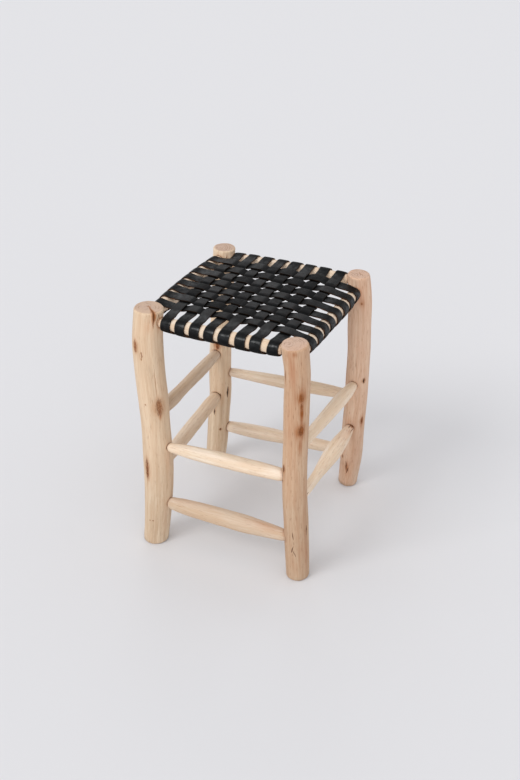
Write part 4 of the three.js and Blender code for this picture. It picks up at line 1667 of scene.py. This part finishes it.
def colour(code: str) -> Rgba:
    """Turns a display colour written as six hexadecimal digits into Blender's linear one."""
    parts = np.array([int(code[start:start + 2], 16) for start in (0, 2, 4)]) / 255.0
    curved = ((parts + SRGB_LIFT) / (1 + SRGB_LIFT)) ** SRGB_POWER
    return (*np.where(parts <= SRGB_KNEE, parts / SRGB_SLOPE, curved).tolist(), 1.0)


@dataclass(frozen=True)
class Band:
    """A smooth change, as 3t² - 2t³, from start at low to end at high. It holds beyond them."""

    low: float
    high: float
    start: float = 0.0
    end: float = 1.0


@dataclass(frozen=True)
class Figure:
    """A soft noise over a vector, and the band that turns it into a mask."""

    scales: Triple
    detail: float
    roughness: float
    band: Band


@dataclass(frozen=True)
class Nodes:
    """A node tree being filled: it adds nodes, sets what is constant and links what varies."""

    tree: bpy.types.NodeTree

    def put(self, node: bpy.types.Node, inputs: dict[str | int, Value]) -> None:
        """Links a node's inputs to sockets, or sets their values.

        Args:
            node: The node.
            inputs: Values or sockets by input name or number.
        """
        for key, value in inputs.items():
            if isinstance(value, Socket):
                self.tree.links.new(value, node.inputs[key])
            else:
                node.inputs[key].default_value = value

    def add(
        self, kind: str, inputs: dict[str | int, Value] | None = None, **settings: object
    ) -> bpy.types.Node:
        """Adds a node.

        Args:
            kind: The node's type.
            inputs: Values or sockets by input name or number.
            settings: The node's own properties.

        Returns:
            The node.
        """
        node = self.tree.nodes.new(kind)
        for key, value in settings.items():
            setattr(node, key, value)
        self.put(node, inputs or {})
        return node

    def attribute(self, name: str, output: str = "Fac") -> Socket:
        """Reads one of the mesh's point attributes."""
        return self.add("ShaderNodeAttribute", attribute_name=name).outputs[output]

    def object_place(self) -> Socket:
        """Reads the object's own coordinates."""
        return self.add("ShaderNodeTexCoord").outputs["Object"]

    def math(self, operation: str, first: Value, second: Value = 0.0) -> Socket:
        """One arithmetic step on two numbers or sockets."""
        return self.add("ShaderNodeMath", {0: first, 1: second}, operation=operation).outputs[0]

    def times(self, first: Value, second: Value) -> Socket:
        """The product of two numbers or sockets."""
        return self.math("MULTIPLY", first, second)

    def total(self, *terms: tuple[Socket, float]) -> Socket:
        """The sum of sockets, each times its weight."""
        result, *others = (self.times(socket, weight) for socket, weight in terms)
        for other in others:
            result = self.math("ADD", result, other)
        return result

    def scale(self, vector: Socket, factors: Triple) -> Socket:
        """Multiplies a vector by three factors."""
        return self.add("ShaderNodeVectorMath", {0: vector, 1: factors}, operation="MULTIPLY").outputs[0]

    def band(self, value: Value, band: Band) -> Socket:
        """Maps a value through a band."""
        inputs = {"Value": value, "From Min": band.low, "From Max": band.high}
        inputs |= {"To Min": band.start, "To Max": band.end}
        return self.add("ShaderNodeMapRange", inputs, interpolation_type="SMOOTHSTEP").outputs["Result"]

    def figure(self, place: Socket, figure: Figure) -> Socket:
        """Makes a figure's mask from a place."""
        inputs = {"Vector": self.scale(place, figure.scales), "Scale": 1.0}
        inputs |= {"Detail": figure.detail, "Roughness": figure.roughness}
        return self.band(self.add("ShaderNodeTexNoise", inputs).outputs["Fac"], figure.band)

    def parts(self, vector: Socket) -> list[Socket]:
        """Splits a vector into its three coordinates."""
        return list(self.add("ShaderNodeSeparateXYZ", {0: vector}).outputs)

    def mix(self, factor: Value, first: Value, second: Value, blend: str = "MIX") -> Socket:
        """Mixes two colours by a factor."""
        inputs = {0: factor, 6: first, 7: second}
        return self.add("ShaderNodeMix", inputs, data_type="RGBA", blend_type=blend).outputs[2]

    def tint(self, tone: Value, mask: Value, amount: float, code: str, blend: str = "MIX") -> Socket:
        """Lays a display colour over a tone where a mask says, by no more than an amount."""
        return self.mix(self.times(mask, amount), tone, colour(code), blend)

    def group(self, group: "NodeGroup", inputs: dict[str, Socket]) -> dict[str, Socket]:
        """Places a node group, and returns its masks by name."""
        outputs = self.add("ShaderNodeGroup", inputs, node_tree=group.tree()).outputs
        return {label: outputs[label] for label in group.outputs}

    def bump(self, height: Socket, strength: float, distance: float) -> Socket:
        """The normal that a height gives the surface."""
        inputs = {"Height": height, "Strength": strength, "Distance": distance}
        return self.add("ShaderNodeBump", inputs).outputs["Normal"]


@dataclass(frozen=True)
class NodeGroup:
    """A shader node group that turns vectors into masks."""

    name: str
    outputs: tuple[str, ...]
    inputs: tuple[str, ...] = ("Place",)

    def masks(self, nodes: Nodes, inputs: dict[str, Socket]) -> tuple[Socket, ...]:
        """Fills the group.

        Args:
            nodes: The group's nodes.
            inputs: Its vectors by name.

        Returns:
            Its masks in order.
        """
        raise NotImplementedError

    def tree(self) -> bpy.types.NodeTree:
        """Makes the group, where it isn't there yet.

        Returns:
            Its tree.
        """
        if self.name in bpy.data.node_groups:
            return bpy.data.node_groups[self.name]
        tree = bpy.data.node_groups.new(self.name, "ShaderNodeTree")
        for label in self.inputs:
            tree.interface.new_socket(label, in_out="INPUT", socket_type="NodeSocketVector")
        for label in self.outputs:
            tree.interface.new_socket(label, in_out="OUTPUT", socket_type="NodeSocketFloat")
        nodes = Nodes(tree)
        start, end = nodes.add("NodeGroupInput"), nodes.add("NodeGroupOutput")
        masks = self.masks(nodes, {label: start.outputs[label] for label in self.inputs})
        nodes.put(end, dict(zip(self.outputs, masks)))
        return tree


@dataclass(frozen=True)
class GrainGroup(NodeGroup):
    """The figure of straight-grained wood, from its place in the log.

    Every noise is drawn out along the grain. Fibre is the finest, Dashes are short pores, Streak and
    Cloud are the broad changes of tone, and Rings are the year rings of a sawn face: a sine of the
    distance from the pith, bent by a noise and broken into patches.
    """

    name: str = "timber_grain"
    outputs: tuple[str, ...] = ("Fibre", "Dashes", "Streak", "Cloud", "Rings")
    figures: tuple[Figure, ...] = (
        Figure((880.0, 880.0, 30.0), 3.0, 0.6, Band(0.36, 0.68)),
        Figure((620.0, 620.0, 75.0), 1.0, 0.4, Band(0.62, 0.74)),
        Figure((115.0, 115.0, 4.0), 4.0, 0.62, Band(0.3, 0.7)),
        Figure((30.0, 30.0, 10.0), 3.0, 0.6, Band(0.34, 0.68)),
    )
    sway_scale: float = 55.0
    sway_detail: float = 3.0
    sway_reach: Triple = (0.014, 0.014, 0.0)
    across_grain: Triple = (1.0, 1.0, 0.0)
    ring_rate: float = 1350.0
    ring: Band = Band(0.2, 0.95)
    patch: Figure = Figure((90.0, 90.0, 90.0), 2.0, 0.5, Band(0.42, 0.62))

    def masks(self, nodes: Nodes, inputs: dict[str, Socket]) -> tuple[Socket, ...]:
        """Fills the group.

        Args:
            nodes: The group's nodes.
            inputs: Its vectors by name.

        Returns:
            Its masks in order.
        """
        place = inputs["Place"]
        noise = {"Vector": place, "Scale": self.sway_scale, "Detail": self.sway_detail}
        sway = nodes.scale(nodes.add("ShaderNodeTexNoise", noise).outputs["Color"], self.sway_reach)
        flat = nodes.scale(place, self.across_grain)
        bent = nodes.add("ShaderNodeVectorMath", {0: flat, 1: sway}, operation="ADD").outputs[0]
        radius = nodes.add("ShaderNodeVectorMath", {0: bent}, operation="LENGTH").outputs["Value"]
        rings = nodes.band(nodes.math("SINE", nodes.times(radius, self.ring_rate)), self.ring)
        rings = nodes.times(rings, nodes.figure(place, self.patch))
        return (*(nodes.figure(place, figure) for figure in self.figures), rings)


@dataclass(frozen=True)
class MarkGroup(NodeGroup):
    """Turns the places in knots and cracks into masks with ragged, fibrous edges.

    Core is the middle of a knot, Rim its outline, Tip its two pointed ends, Mottle its uneven tone and
    Halo the warmer wood round it. Split is the open part of a crack and Seep the wood that it stains.
    """

    name: str = "timber_marks"
    outputs: tuple[str, ...] = ("Core", "Rim", "Tip", "Mottle", "Halo", "Split", "Seep")
    inputs: tuple[str, ...] = ("Place", "Knot", "Crack", "Dark")
    ragged: Figure = Figure((560.0, 560.0, 150.0), 3.0, 0.6, Band(0.25, 0.75, -0.32, 0.32))
    mottle: Figure = Figure((760.0, 760.0, 330.0), 2.0, 0.6, Band(0.38, 0.6))
    wander: Figure = Figure((20.0, 20.0, 110.0), 2.0, 0.5, Band(0.3, 0.7, -1.0, 1.0))
    core: Band = Band(0.5, 1.0, 1.0, 0.0)
    rim_rise: Band = Band(0.4, 0.85)
    rim_fall: Band = Band(0.85, 1.35, 1.0, 0.0)
    tip: Band = Band(0.2, 0.95)
    halo: Band = Band(0.8, 2.6, 1.0, 0.0)
    split: Band = Band(0.55, 1.25, 1.0, 0.0)
    seep: Band = Band(0.8, 3.2, 1.0, 0.0)
    split_ragged: float = 0.4
    far_rate: float = 1.2

    def away(self, nodes: Nodes, reach: Socket, value: Socket) -> Socket:
        """Keeps a value large where the mark is far, because places jump between marks there."""
        return nodes.math("MAXIMUM", value, nodes.times(nodes.math("SUBTRACT", reach, 1.0), self.far_rate))

    def masks(self, nodes: Nodes, inputs: dict[str, Socket]) -> tuple[Socket, ...]:
        """Fills the group.

        Args:
            nodes: The group's nodes.
            inputs: Its vectors by name.

        Returns:
            Its masks in order.
        """
        place = inputs["Place"]
        ragged = nodes.figure(place, self.ragged)
        wander = nodes.times(nodes.figure(place, self.wander), nodes.parts(inputs["Dark"])[2])
        aside, run, reach = nodes.parts(inputs["Knot"])
        eye = nodes.math("ADD", nodes.math("ABSOLUTE", aside), nodes.times(run, run))
        eye = self.away(nodes, reach, nodes.math("ADD", eye, ragged))
        rim = nodes.times(nodes.band(eye, self.rim_rise), nodes.band(eye, self.rim_fall))
        tip = nodes.band(nodes.math("ABSOLUTE", run), self.tip)
        aside, run, reach = nodes.parts(inputs["Crack"])
        left = nodes.math("SUBTRACT", 1.0, nodes.math("ABSOLUTE", run))
        left = nodes.math("MAXIMUM", left, LEAST_CRACK_WIDTH)
        beside = nodes.math("ABSOLUTE", nodes.math("ADD", aside, wander))
        split = nodes.math("DIVIDE", beside, nodes.math("POWER", left, CRACK_TAPER))
        split = nodes.math("ADD", split, nodes.times(ragged, self.split_ragged))
        split = self.away(nodes, reach, split)
        mottle = nodes.figure(place, self.mottle)
        core, halo = nodes.band(eye, self.core), nodes.band(eye, self.halo)
        return core, rim, tip, mottle, halo, nodes.band(split, self.split), nodes.band(split, self.seep)


@dataclass(frozen=True)
class HideGroup(NodeGroup):
    """The fine relief and mottling of leather.

    Pebble is the grain of the hide as small rounded cells, Mottle its uneven dye, and Crease the fine
    lines across a bend.
    """

    name: str = "hide_grain"
    outputs: tuple[str, ...] = ("Pebble", "Mottle", "Crease")
    cell_scale: float = 1500.0
    cell_smoothness: float = 0.6
    pebble: Band = Band(0.1, 0.75, 1.0, 0.0)
    mottle: Figure = Figure((130.0, 130.0, 130.0), 4.0, 0.6, Band(0.32, 0.7))
    crease: Figure = Figure((160.0, 1500.0, 160.0), 2.0, 0.5, Band(0.42, 0.62))

    def masks(self, nodes: Nodes, inputs: dict[str, Socket]) -> tuple[Socket, ...]:
        """Fills the group.

        Args:
            nodes: The group's nodes.
            inputs: Its vectors by name.

        Returns:
            Its masks in order.
        """
        place = inputs["Place"]
        cells = {"Vector": place, "Scale": self.cell_scale, "Smoothness": self.cell_smoothness}
        distance = nodes.add("ShaderNodeTexVoronoi", cells, feature="SMOOTH_F1").outputs["Distance"]
        pebble = nodes.band(distance, self.pebble)
        return pebble, nodes.figure(place, self.mottle), nodes.figure(place, self.crease)


def new_material(name: str) -> tuple[bpy.types.Material, Nodes, bpy.types.Node]:
    """Starts a material with one Principled shader.

    Args:
        name: The material's name.

    Returns:
        The material, its nodes and its shader.
    """
    material = bpy.data.materials.new(name)
    material.use_nodes = True
    material.node_tree.nodes.clear()
    nodes = Nodes(material.node_tree)
    shader = nodes.add("ShaderNodeBsdfPrincipled")
    nodes.add("ShaderNodeOutputMaterial", {"Surface": shader.outputs["BSDF"]})
    return material, nodes, shader


@dataclass(frozen=True)
class Timber:
    """Bare wood, with its grain, knots, cracks, flushes and sawn ends.

    An amount is the most that a colour covers. A band turns a mask, a distance in millimetres or a
    height in metres into another mask. Depths are weights in the height that gives the bump.
    """

    name: str
    light: str
    deep: str
    warm: str
    flush: str
    sawn: str
    age: str
    fibre_strength: float
    dash_strength: float
    # Painted shade: low_shade and shade darken the wood towards the floor.
    low_shade: float = 0.45
    shade: str = "d8d4d0"
    knot_core: str = "a97248"
    knot_dark: str = "5a2c10"
    knot_halo: str = "bb8357"
    stain: str = "a65c1c"
    split_light: str = "8c5a33"
    split_dark: str = "2c1608"
    bruise: str = "8e5836"
    sawn_dark: str = "93705a"
    dirt: str = "6f6353"
    cloud_amount: float = 0.5
    flush_amount: float = 0.9
    ring_amount: float = 0.6
    sawn_cloud_amount: float = 0.4
    halo_amount: float = 0.45
    core_amount: float = 0.8
    stain_amount: float = 0.7
    seep_amount: float = 0.3
    opened_amount: float = 0.85
    mouth_amount: float = 0.32
    gap_amount: float = 0.8
    dirt_amount: float = 0.6
    flush_streaks: Band = Band(0.0, 1.0, 0.55, 1.0)
    stain_fibres: Band = Band(0.0, 1.0, 0.45, 1.0)
    tip_char: Band = Band(0.0, 1.0, 0.3, 0.8)
    core_char: Band = Band(0.0, 1.0, 0.15, 1.0)
    opened: Band = Band(0.0, 0.8, 0.45, 1.0)
    mouth: Band = Band(0.4, 4.5, 1.0, 0.0)
    gap: Band = Band(-0.3, 0.5, 1.0, 0.0)
    low_heights: Pair = (0.04, 0.3)
    scuffed: Band = Band(0.001, 0.012, 1.0, 0.0)
    roughness: Band = Band(0.0, 1.0, 0.58, 0.74)
    sawn_roughness: float = 0.82
    specular: float = 0.3
    fibre_depth: float = 0.4
    dash_depth: float = 0.5
    ring_depth: float = 0.4
    bump_strength: float = 0.45
    bump_distance: float = 0.0005

    def material(self) -> bpy.types.Material:
        """Makes the wood's material, where it isn't there yet.

        Returns:
            The material.
        """
        if self.name in bpy.data.materials:
            return bpy.data.materials[self.name]
        material, nodes, shader = new_material(self.name)
        grain = nodes.group(GrainGroup(), {"Place": nodes.attribute("place", "Vector")})
        sawn = nodes.attribute("sawn")
        tone = self.marked(nodes, self.plain(nodes, grain, sawn), grain)
        rough = nodes.band(grain["Fibre"], self.roughness)
        rough = nodes.math("MAXIMUM", rough, nodes.times(sawn, self.sawn_roughness))
        cuts = nodes.times(sawn, grain["Rings"])
        height = nodes.total(
            (grain["Fibre"], -self.fibre_depth),
            (grain["Dashes"], -self.dash_depth),
            (cuts, -self.ring_depth),
        )
        nodes.put(shader, {
            "Base Color": self.shade_age_and_scuff(nodes, tone, grain),
            "Roughness": rough,
            "Specular IOR Level": self.specular,
            "Normal": nodes.bump(height, self.bump_strength, self.bump_distance),
        })
        return material

    def plain(self, nodes: Nodes, grain: dict[str, Socket], sawn: Socket) -> Socket:
        """The tone of wood without marks.

        Args:
            nodes: The material's nodes.
            grain: The grain's masks.
            sawn: How much of it is sawn face.

        Returns:
            The tone.
        """
        tone = nodes.mix(grain["Streak"], colour(self.light), colour(self.deep))
        tone = nodes.tint(tone, grain["Cloud"], self.cloud_amount, self.warm)
        flushed = nodes.times(nodes.attribute("flush"), nodes.band(grain["Streak"], self.flush_streaks))
        tone = nodes.tint(tone, flushed, self.flush_amount, self.flush)
        ringed = nodes.tint(colour(self.sawn), grain["Rings"], self.ring_amount, self.sawn_dark)
        ringed = nodes.tint(ringed, grain["Cloud"], self.sawn_cloud_amount, self.warm)
        tone = nodes.mix(sawn, tone, ringed)
        tone = nodes.tint(tone, grain["Fibre"], self.fibre_strength, self.flush, "MULTIPLY")
        return nodes.tint(tone, grain["Dashes"], self.dash_strength, self.bruise)

    def marked(self, nodes: Nodes, tone: Socket, grain: dict[str, Socket]) -> Socket:
        """Lays the stains, knots, cracks and the mouths of the mortises over a tone.

        Args:
            nodes: The material's nodes.
            tone: The wood's tone without marks.
            grain: The grain's masks.

        Returns:
            The marked tone.
        """
        group = MarkGroup()
        fields = {label: nodes.attribute(label.lower(), "Vector") for label in group.inputs}
        marks = nodes.group(group, fields)
        knot_dark, crack_dark, _ = nodes.parts(fields["Dark"])
        tone = nodes.tint(tone, marks["Halo"], self.halo_amount, self.knot_halo)
        tone = nodes.tint(tone, marks["Core"], self.core_amount, self.knot_core)
        stained = nodes.times(nodes.attribute("stain"), nodes.band(grain["Fibre"], self.stain_fibres))
        tone = nodes.tint(tone, stained, self.stain_amount, self.stain)
        rim = nodes.times(marks["Rim"], nodes.band(marks["Tip"], self.tip_char))
        inside = nodes.times(marks["Core"], nodes.band(marks["Mottle"], self.core_char))
        charred = nodes.times(nodes.math("MAXIMUM", rim, inside), knot_dark)
        tone = nodes.tint(tone, charred, 1.0, self.knot_dark)
        tone = nodes.tint(tone, marks["Seep"], self.seep_amount, self.stain)
        opened = nodes.times(marks["Split"], nodes.band(crack_dark, self.opened))
        tone = nodes.tint(tone, opened, self.opened_amount, self.split_light)
        tone = nodes.tint(tone, nodes.times(marks["Split"], crack_dark), 1.0, self.split_dark)
        mouth = nodes.attribute("mouth")
        tone = nodes.tint(tone, nodes.band(mouth, self.mouth), self.mouth_amount, self.stain)
        return nodes.tint(tone, nodes.band(mouth, self.gap), self.gap_amount, self.split_dark)

    def shade_age_and_scuff(self, nodes: Nodes, tone: Socket, grain: dict[str, Socket]) -> Socket:
        """Darkens a tone towards the floor as painted shade, darkens it by age, and scuffs the feet.

        Args:
            nodes: The material's nodes.
            tone: The marked tone.
            grain: The grain's masks.

        Returns:
            The tone of the whole wood.
        """
        low = nodes.parts(nodes.object_place())[2]
        # Painted shade: the wood is darkened towards the floor.
        shaded = nodes.band(low, Band(*self.low_heights, self.low_shade, 0.0))
        tone = nodes.tint(tone, shaded, 1.0, self.shade, "MULTIPLY")
        tone = nodes.tint(tone, nodes.attribute("aged"), 1.0, self.age, "MULTIPLY")
        scuffed = nodes.times(nodes.band(low, self.scuffed), grain["Cloud"])
        return nodes.tint(tone, scuffed, self.dirt_amount, self.dirt)


@dataclass(frozen=True)
class Leather:
    """Dyed strap leather: a fine-grained top, raw cut edges and a rough underside. Its crests carry painted
    sheen, and its cut edges within the weave painted shade.
    """

    name: str = "strap_leather"
    dye: str = "080808"
    faded: str = "131212"
    # The crests are lightened towards this colour: partly wear, partly painted sheen where they catch the
    # light.
    worn: str = "2c2827"
    raw_edge: str = "573823"
    # Painted shade: the cut edges within the weave take this near-black colour, their own dark brown
    # deepened for the shade between crossing straps.
    shaded_raw_edge: str = "120c09"
    suede: str = "2c2722"
    sheen: str = "e6f4ff"
    mottle_amount: float = 0.6
    tone_amount: float = 0.35
    worn_sheen_amount: float = 0.4
    crest_amount: float = 0.1
    worn_sheen_mottle: Band = Band(0.2, 1.0)
    rubbed: Band = Band(0.3, 1.5, 0.6, 0.0)
    open_raw: Band = Band(0.0, 1.0, 0.12, 1.0)
    cut: Band = Band(0.45, 0.85)
    roughness: Band = Band(0.0, 1.0, 0.46, 0.6)
    bare_roughness: float = 0.85
    specular: float = 0.06
    coat_roughness: float = 0.2
    polish: Band = Band(0.0, 1.0, 0.75, 0.25)
    creased: Band = Band(0.0, 1.0, 0.12, 0.7)
    pebble_height: float = 0.5
    mottle_height: float = 0.6
    bump_strength: float = 0.5
    bump_distance: float = 0.00025

    def material(self) -> bpy.types.Material:
        """Makes the leather's material, where it isn't there yet.

        Returns:
            The material.
        """
        if self.name in bpy.data.materials:
            return bpy.data.materials[self.name]
        material, nodes, shader = new_material(self.name)
        grain = nodes.group(HideGroup(), {"Place": nodes.attribute("place", "Vector")})
        mottle, bend, crest = grain["Mottle"], nodes.attribute("bend"), nodes.attribute("crest")
        cut = nodes.band(nodes.attribute("cut"), self.cut)
        bare = nodes.math("MAXIMUM", cut, nodes.attribute("under"))
        crest_shine = nodes.times(crest, self.crest_amount)
        rough = nodes.math("SUBTRACT", nodes.band(mottle, self.roughness), crest_shine)
        polish = nodes.times(nodes.math("ADD", bend, crest_shine), nodes.band(mottle, self.polish))
        creases = nodes.times(grain["Crease"], nodes.band(bend, self.creased))
        height = nodes.total(
            (grain["Pebble"], self.pebble_height), (creases, -1.0), (mottle, self.mottle_height)
        )
        nodes.put(shader, {
            "Base Color": self.tone(nodes, mottle, crest, cut),
            "Roughness": nodes.math("MAXIMUM", rough, nodes.times(bare, self.bare_roughness)),
            "Specular IOR Level": self.specular,
            "Coat Roughness": self.coat_roughness,
            "Coat Tint": colour(self.sheen),
            "Specular Tint": colour(self.sheen),
            "Coat Weight": nodes.times(polish, nodes.math("SUBTRACT", 1.0, bare)),
            "Normal": nodes.bump(height, self.bump_strength, self.bump_distance),
        })
        return material

    def tone(self, nodes: Nodes, mottle: Socket, crest: Socket, cut: Socket) -> Socket:
        """The leather's colour: uneven dye, worn crests lightened also as painted sheen, rubbed edges, suede
        below, and raw cuts darkened within the weave as painted shade.

        Args:
            nodes: The material's nodes.
            mottle: The unevenness of the dye.
            crest: How worn it is where it rises over another strap, and how much painted sheen it takes
                there.
            cut: How much of it is cut edge.

        Returns:
            The colour.
        """
        tone = nodes.mix(nodes.times(mottle, self.mottle_amount), colour(self.dye), colour(self.faded))
        tone = nodes.tint(tone, nodes.attribute("tone"), self.tone_amount, self.faded)
        # Partly wear and partly painted sheen: the crests where a strap rises over another are lightened.
        worn = nodes.times(crest, nodes.band(mottle, self.worn_sheen_mottle))
        tone = nodes.tint(tone, worn, self.worn_sheen_amount, self.worn)
        rubbed = nodes.times(nodes.band(nodes.attribute("edge"), self.rubbed), mottle)
        tone = nodes.mix(rubbed, tone, colour(self.suede))
        tone = nodes.mix(nodes.attribute("under"), tone, colour(self.suede))
        # Painted shade: away from the rails the cut edges are kept near the darkest colour, for the shade
        # where the straps cross.
        raw = nodes.times(nodes.band(nodes.attribute("open_edge"), self.open_raw), mottle)
        return nodes.mix(cut, tone, nodes.mix(raw, colour(self.shaded_raw_edge), colour(self.raw_edge)))


@dataclass(frozen=True)
class TackIron:
    """Blued iron, a little rusty."""

    name: str = "tack_iron"
    blued: str = "3b3d42"
    rust: str = "5f3a24"
    rusty: Figure = Figure((900.0, 900.0, 900.0), 4.0, 0.6, Band(0.5, 0.7))
    roughness: Band = Band(0.0, 1.0, 0.38, 0.8)
    metallic: Band = Band(0.0, 1.0, 1.0, 0.2)

    def material(self) -> bpy.types.Material:
        """Makes the iron's material.

        Returns:
            The material.
        """
        material, nodes, shader = new_material(self.name)
        rusty = nodes.figure(nodes.object_place(), self.rusty)
        nodes.put(shader, {
            "Base Color": nodes.mix(rusty, colour(self.blued), colour(self.rust)),
            "Roughness": nodes.band(rusty, self.roughness),
            "Metallic": nodes.band(rusty, self.metallic),
        })
        return material


PALE_BRANCH = Timber(
    "peeled_pale", "eddabf", "d1b698", "e3c5a5", "d6a37e", "c6ad9b", "dcd2c8",
    fibre_strength=0.2, dash_strength=0.22,
)
PINK_BRANCH = Timber(
    "peeled_pink", "e9cfb6", "d2ad91", "deb597", "cb916f", "cfb5a2", "edebe3",
    fibre_strength=0.26, dash_strength=0.34,
)
WHITTLED_WOOD = Timber(
    "whittled_stick", "f7e8d5", "e6d2b7", "e7cbab", "e4ae8a", "dcc2a4", "dfd8d3",
    fibre_strength=0.18, dash_strength=0.24, low_shade=0.0,
)
TIMBERS = {Finish.PALE_BRANCH: PALE_BRANCH, Finish.PINK_BRANCH: PINK_BRANCH}


# Studio


@dataclass(frozen=True)
class Lamp:
    """A large soft light far away. Angles are in degrees, the azimuth from +X, its distance in metres."""

    name: str
    azimuth: float
    elevation: float
    strength: float
    spread: float
    distance: float = 3.0

    def build(self) -> None:
        """Adds the light."""
        light = bpy.data.lights.new(self.name, "SUN")
        light.energy = self.strength
        light.angle = math.radians(self.spread)
        lamp = bpy.data.objects.new(self.name, light)
        turn, lift = math.radians(self.azimuth), math.radians(self.elevation)
        towards = Vector((math.cos(turn) * math.cos(lift), math.sin(turn) * math.cos(lift), math.sin(lift)))
        lamp.location = towards * self.distance
        lamp.rotation_euler = towards.to_track_quat("Z", "Y").to_euler()
        bpy.context.scene.collection.objects.link(lamp)


@dataclass(frozen=True)
class Studio:
    """The camera, the light and the plain floor. Angles are in degrees, and its view ends in metres."""

    azimuth: float = 23.68
    elevation: float = 31.89
    distance: float = 1885.0
    aim: Triple = (2.0, 17.5, 248.4)
    lens: float = 50.0
    view_end: float = 100.0
    backdrop: str = "dfdfe1"
    lamps: tuple[Lamp, ...] = (
        Lamp("key", -122.0, 42.0, 0.9, 26.0),
        Lamp("fill", -72.0, 20.0, 0.6, 70.0),
        Lamp("rim", 118.0, 34.0, 0.15, 24.0),
    )
    sky_strength: float = 1.03
    floor_half_size: float = 20000.0
    floor_roughness: float = 0.9

    def build(self) -> None:
        """Sets up the whole studio."""
        self.add_camera()
        for lamp in self.lamps:
            lamp.build()
        self.add_surroundings()
        self.add_floor()

    def add_camera(self) -> None:
        """Stands the camera where the photograph was taken from."""
        turn, lift = math.radians(self.azimuth), math.radians(self.elevation)
        back = Vector((math.sin(turn) * math.cos(lift), -math.cos(turn) * math.cos(lift), math.sin(lift)))
        camera = bpy.data.cameras.new("camera")
        camera.lens = self.lens
        camera.clip_end = self.view_end
        stand = bpy.data.objects.new("camera", camera)
        stand.location = (Vector(self.aim) + back * self.distance) * MM
        stand.rotation_euler = (-back).to_track_quat("-Z", "Y").to_euler()
        bpy.context.scene.collection.objects.link(stand)
        bpy.context.scene.camera = stand

    def add_surroundings(self) -> None:
        """Fills the world with the backdrop's own pale light."""
        world = bpy.data.worlds.new("studio")
        world.use_nodes = True
        background = world.node_tree.nodes["Background"]
        background.inputs["Color"].default_value = colour(self.backdrop)
        background.inputs["Strength"].default_value = self.sky_strength
        bpy.context.scene.world = world

    def add_floor(self) -> None:
        """Lays the plain floor, which is part of the stage."""
        half = self.floor_half_size * MM
        corners = [(-half, -half, 0), (half, -half, 0), (half, half, 0), (-half, half, 0)]
        mesh = bpy.data.meshes.new("floor")
        mesh.from_pydata(corners, [], [(0, 1, 2, 3)])
        floor = bpy.data.objects.new("floor", mesh)
        material, nodes, shader = new_material("floor_paper")
        nodes.put(shader, {
            "Base Color": colour(self.backdrop),
            "Roughness": self.floor_roughness,
            "Specular IOR Level": 0.0,
        })
        mesh.materials.append(material)
        bpy.context.scene.collection.objects.link(floor)


# Assembly


@dataclass
class Stool:
    """The whole stool, built in order from its legs to its straps."""

    leg_seed: int = 11
    leg_step: int = 3
    rail_seed: int = 31
    stretcher_seed: int = 41
    strap_seed: int = 71
    strap_step: int = 2
    box_levels: int = 400
    legs: dict[str, Leg] = field(init=False)
    rails: dict[str, Stick] = field(init=False)
    stretchers: dict[str, Stick] = field(init=False)

    def __post_init__(self) -> None:
        """Finds where the legs, rails and stretchers lie."""
        self.legs = self.placed_legs()
        self.rails = self.placed_sticks(
            RAIL_FORMS, SIZES.rail_radius, SIZES.rail_tenon_standoff, self.rail_seed
        )
        self.stretchers = self.placed_sticks(
            STRETCHER_FORMS, SIZES.stretcher_radius, SIZES.tenon_standoff, self.stretcher_seed
        )

    def placed_legs(self) -> dict[str, Leg]:
        """Makes the legs and moves them all by the frame's own shift.

        The shift is the mean, over the legs, of how far the middle of each node's box lies from the
        middle of the same leg as its form gives it.

        Returns:
            The legs by name.
        """
        legs, shifts = {}, []
        heights = np.linspace(0.0, SIZES.height, self.box_levels)
        for number, (name, form) in enumerate(LEG_FORMS.items()):
            leg = legs[name] = Leg(form, self.leg_seed + self.leg_step * number)
            axis, girth = leg.axis(heights), leg.girth(heights)[:, None]
            middle = ((axis - girth).min(0) + (axis + girth).max(0)) / 2
            low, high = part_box(f"leg_{name}")
            shifts.append(np.array((low + high)[:2]) / 2 / MM - middle)
        shift = np.mean(shifts, axis=0)
        for leg in legs.values():
            leg.shift = shift
        LOG.info("the frame lies %.2f, %.2f mm from the forms", *shift)
        return legs

    def placed_sticks(
        self, forms: dict[str, StickForm], radius: float, standoff: float, seed: int
    ) -> dict[str, Stick]:
        """Makes the rails or the stretchers, by name, between the placed legs."""
        return {
            name: Stick(form, radius, standoff, (self.legs[form.start], self.legs[form.end]), seed + number)
            for number, (name, form) in enumerate(forms.items())
        }

    def build(self) -> list[bpy.types.Object]:
        """Builds and dresses every piece.

        Returns:
            The pieces in order.
        """
        pieces = []
        for name, leg in self.legs.items():
            sticks = [
                stick for stick in (*self.rails.values(), *self.stretchers.values())
                if name in (stick.form.start, stick.form.end)
            ]
            pieces.append(leg.build(f"leg_{name}", sticks, TIMBERS[leg.form.finish]))
        for kind, sticks in (("seat_rail", self.rails), ("stretcher", self.stretchers)):
            pieces += [stick.build(f"{kind}_{name}", WHITTLED_WOOD) for name, stick in sticks.items()]
        return pieces + self.build_seat()

    def build_seat(self) -> list[bpy.types.Object]:
        """Builds the straps and their tacks.

        Returns:
            The pieces in order.
        """
        seat, straps, pieces = Seat(self.rails), [], []
        for course, plans in seat.plans.items():
            for index in range(len(plans)):
                strap = Strap(seat, course, index, self.strap_seed + self.strap_step * len(straps))
                pieces.append(strap.build(f"{course.value}_strap_{index + 1}", Leather()))
                straps.append(strap)
        return [*pieces, Tacks().build(straps, TackIron().material())]


def main() -> None:
    """Builds the stool and the studio round the frame, and logs each piece's face count."""
    logging.basicConfig(level=logging.INFO, format="%(name)s: %(message)s")
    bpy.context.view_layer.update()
    for piece in Stool().build():
        LOG.info("%s: %d faces", piece.name, len(piece.data.polygons))
    Studio().build()
    bpy.context.scene.view_settings.view_transform = "Standard"
    bpy.context.view_layer.update()


if __name__ == "__main__":
    main()
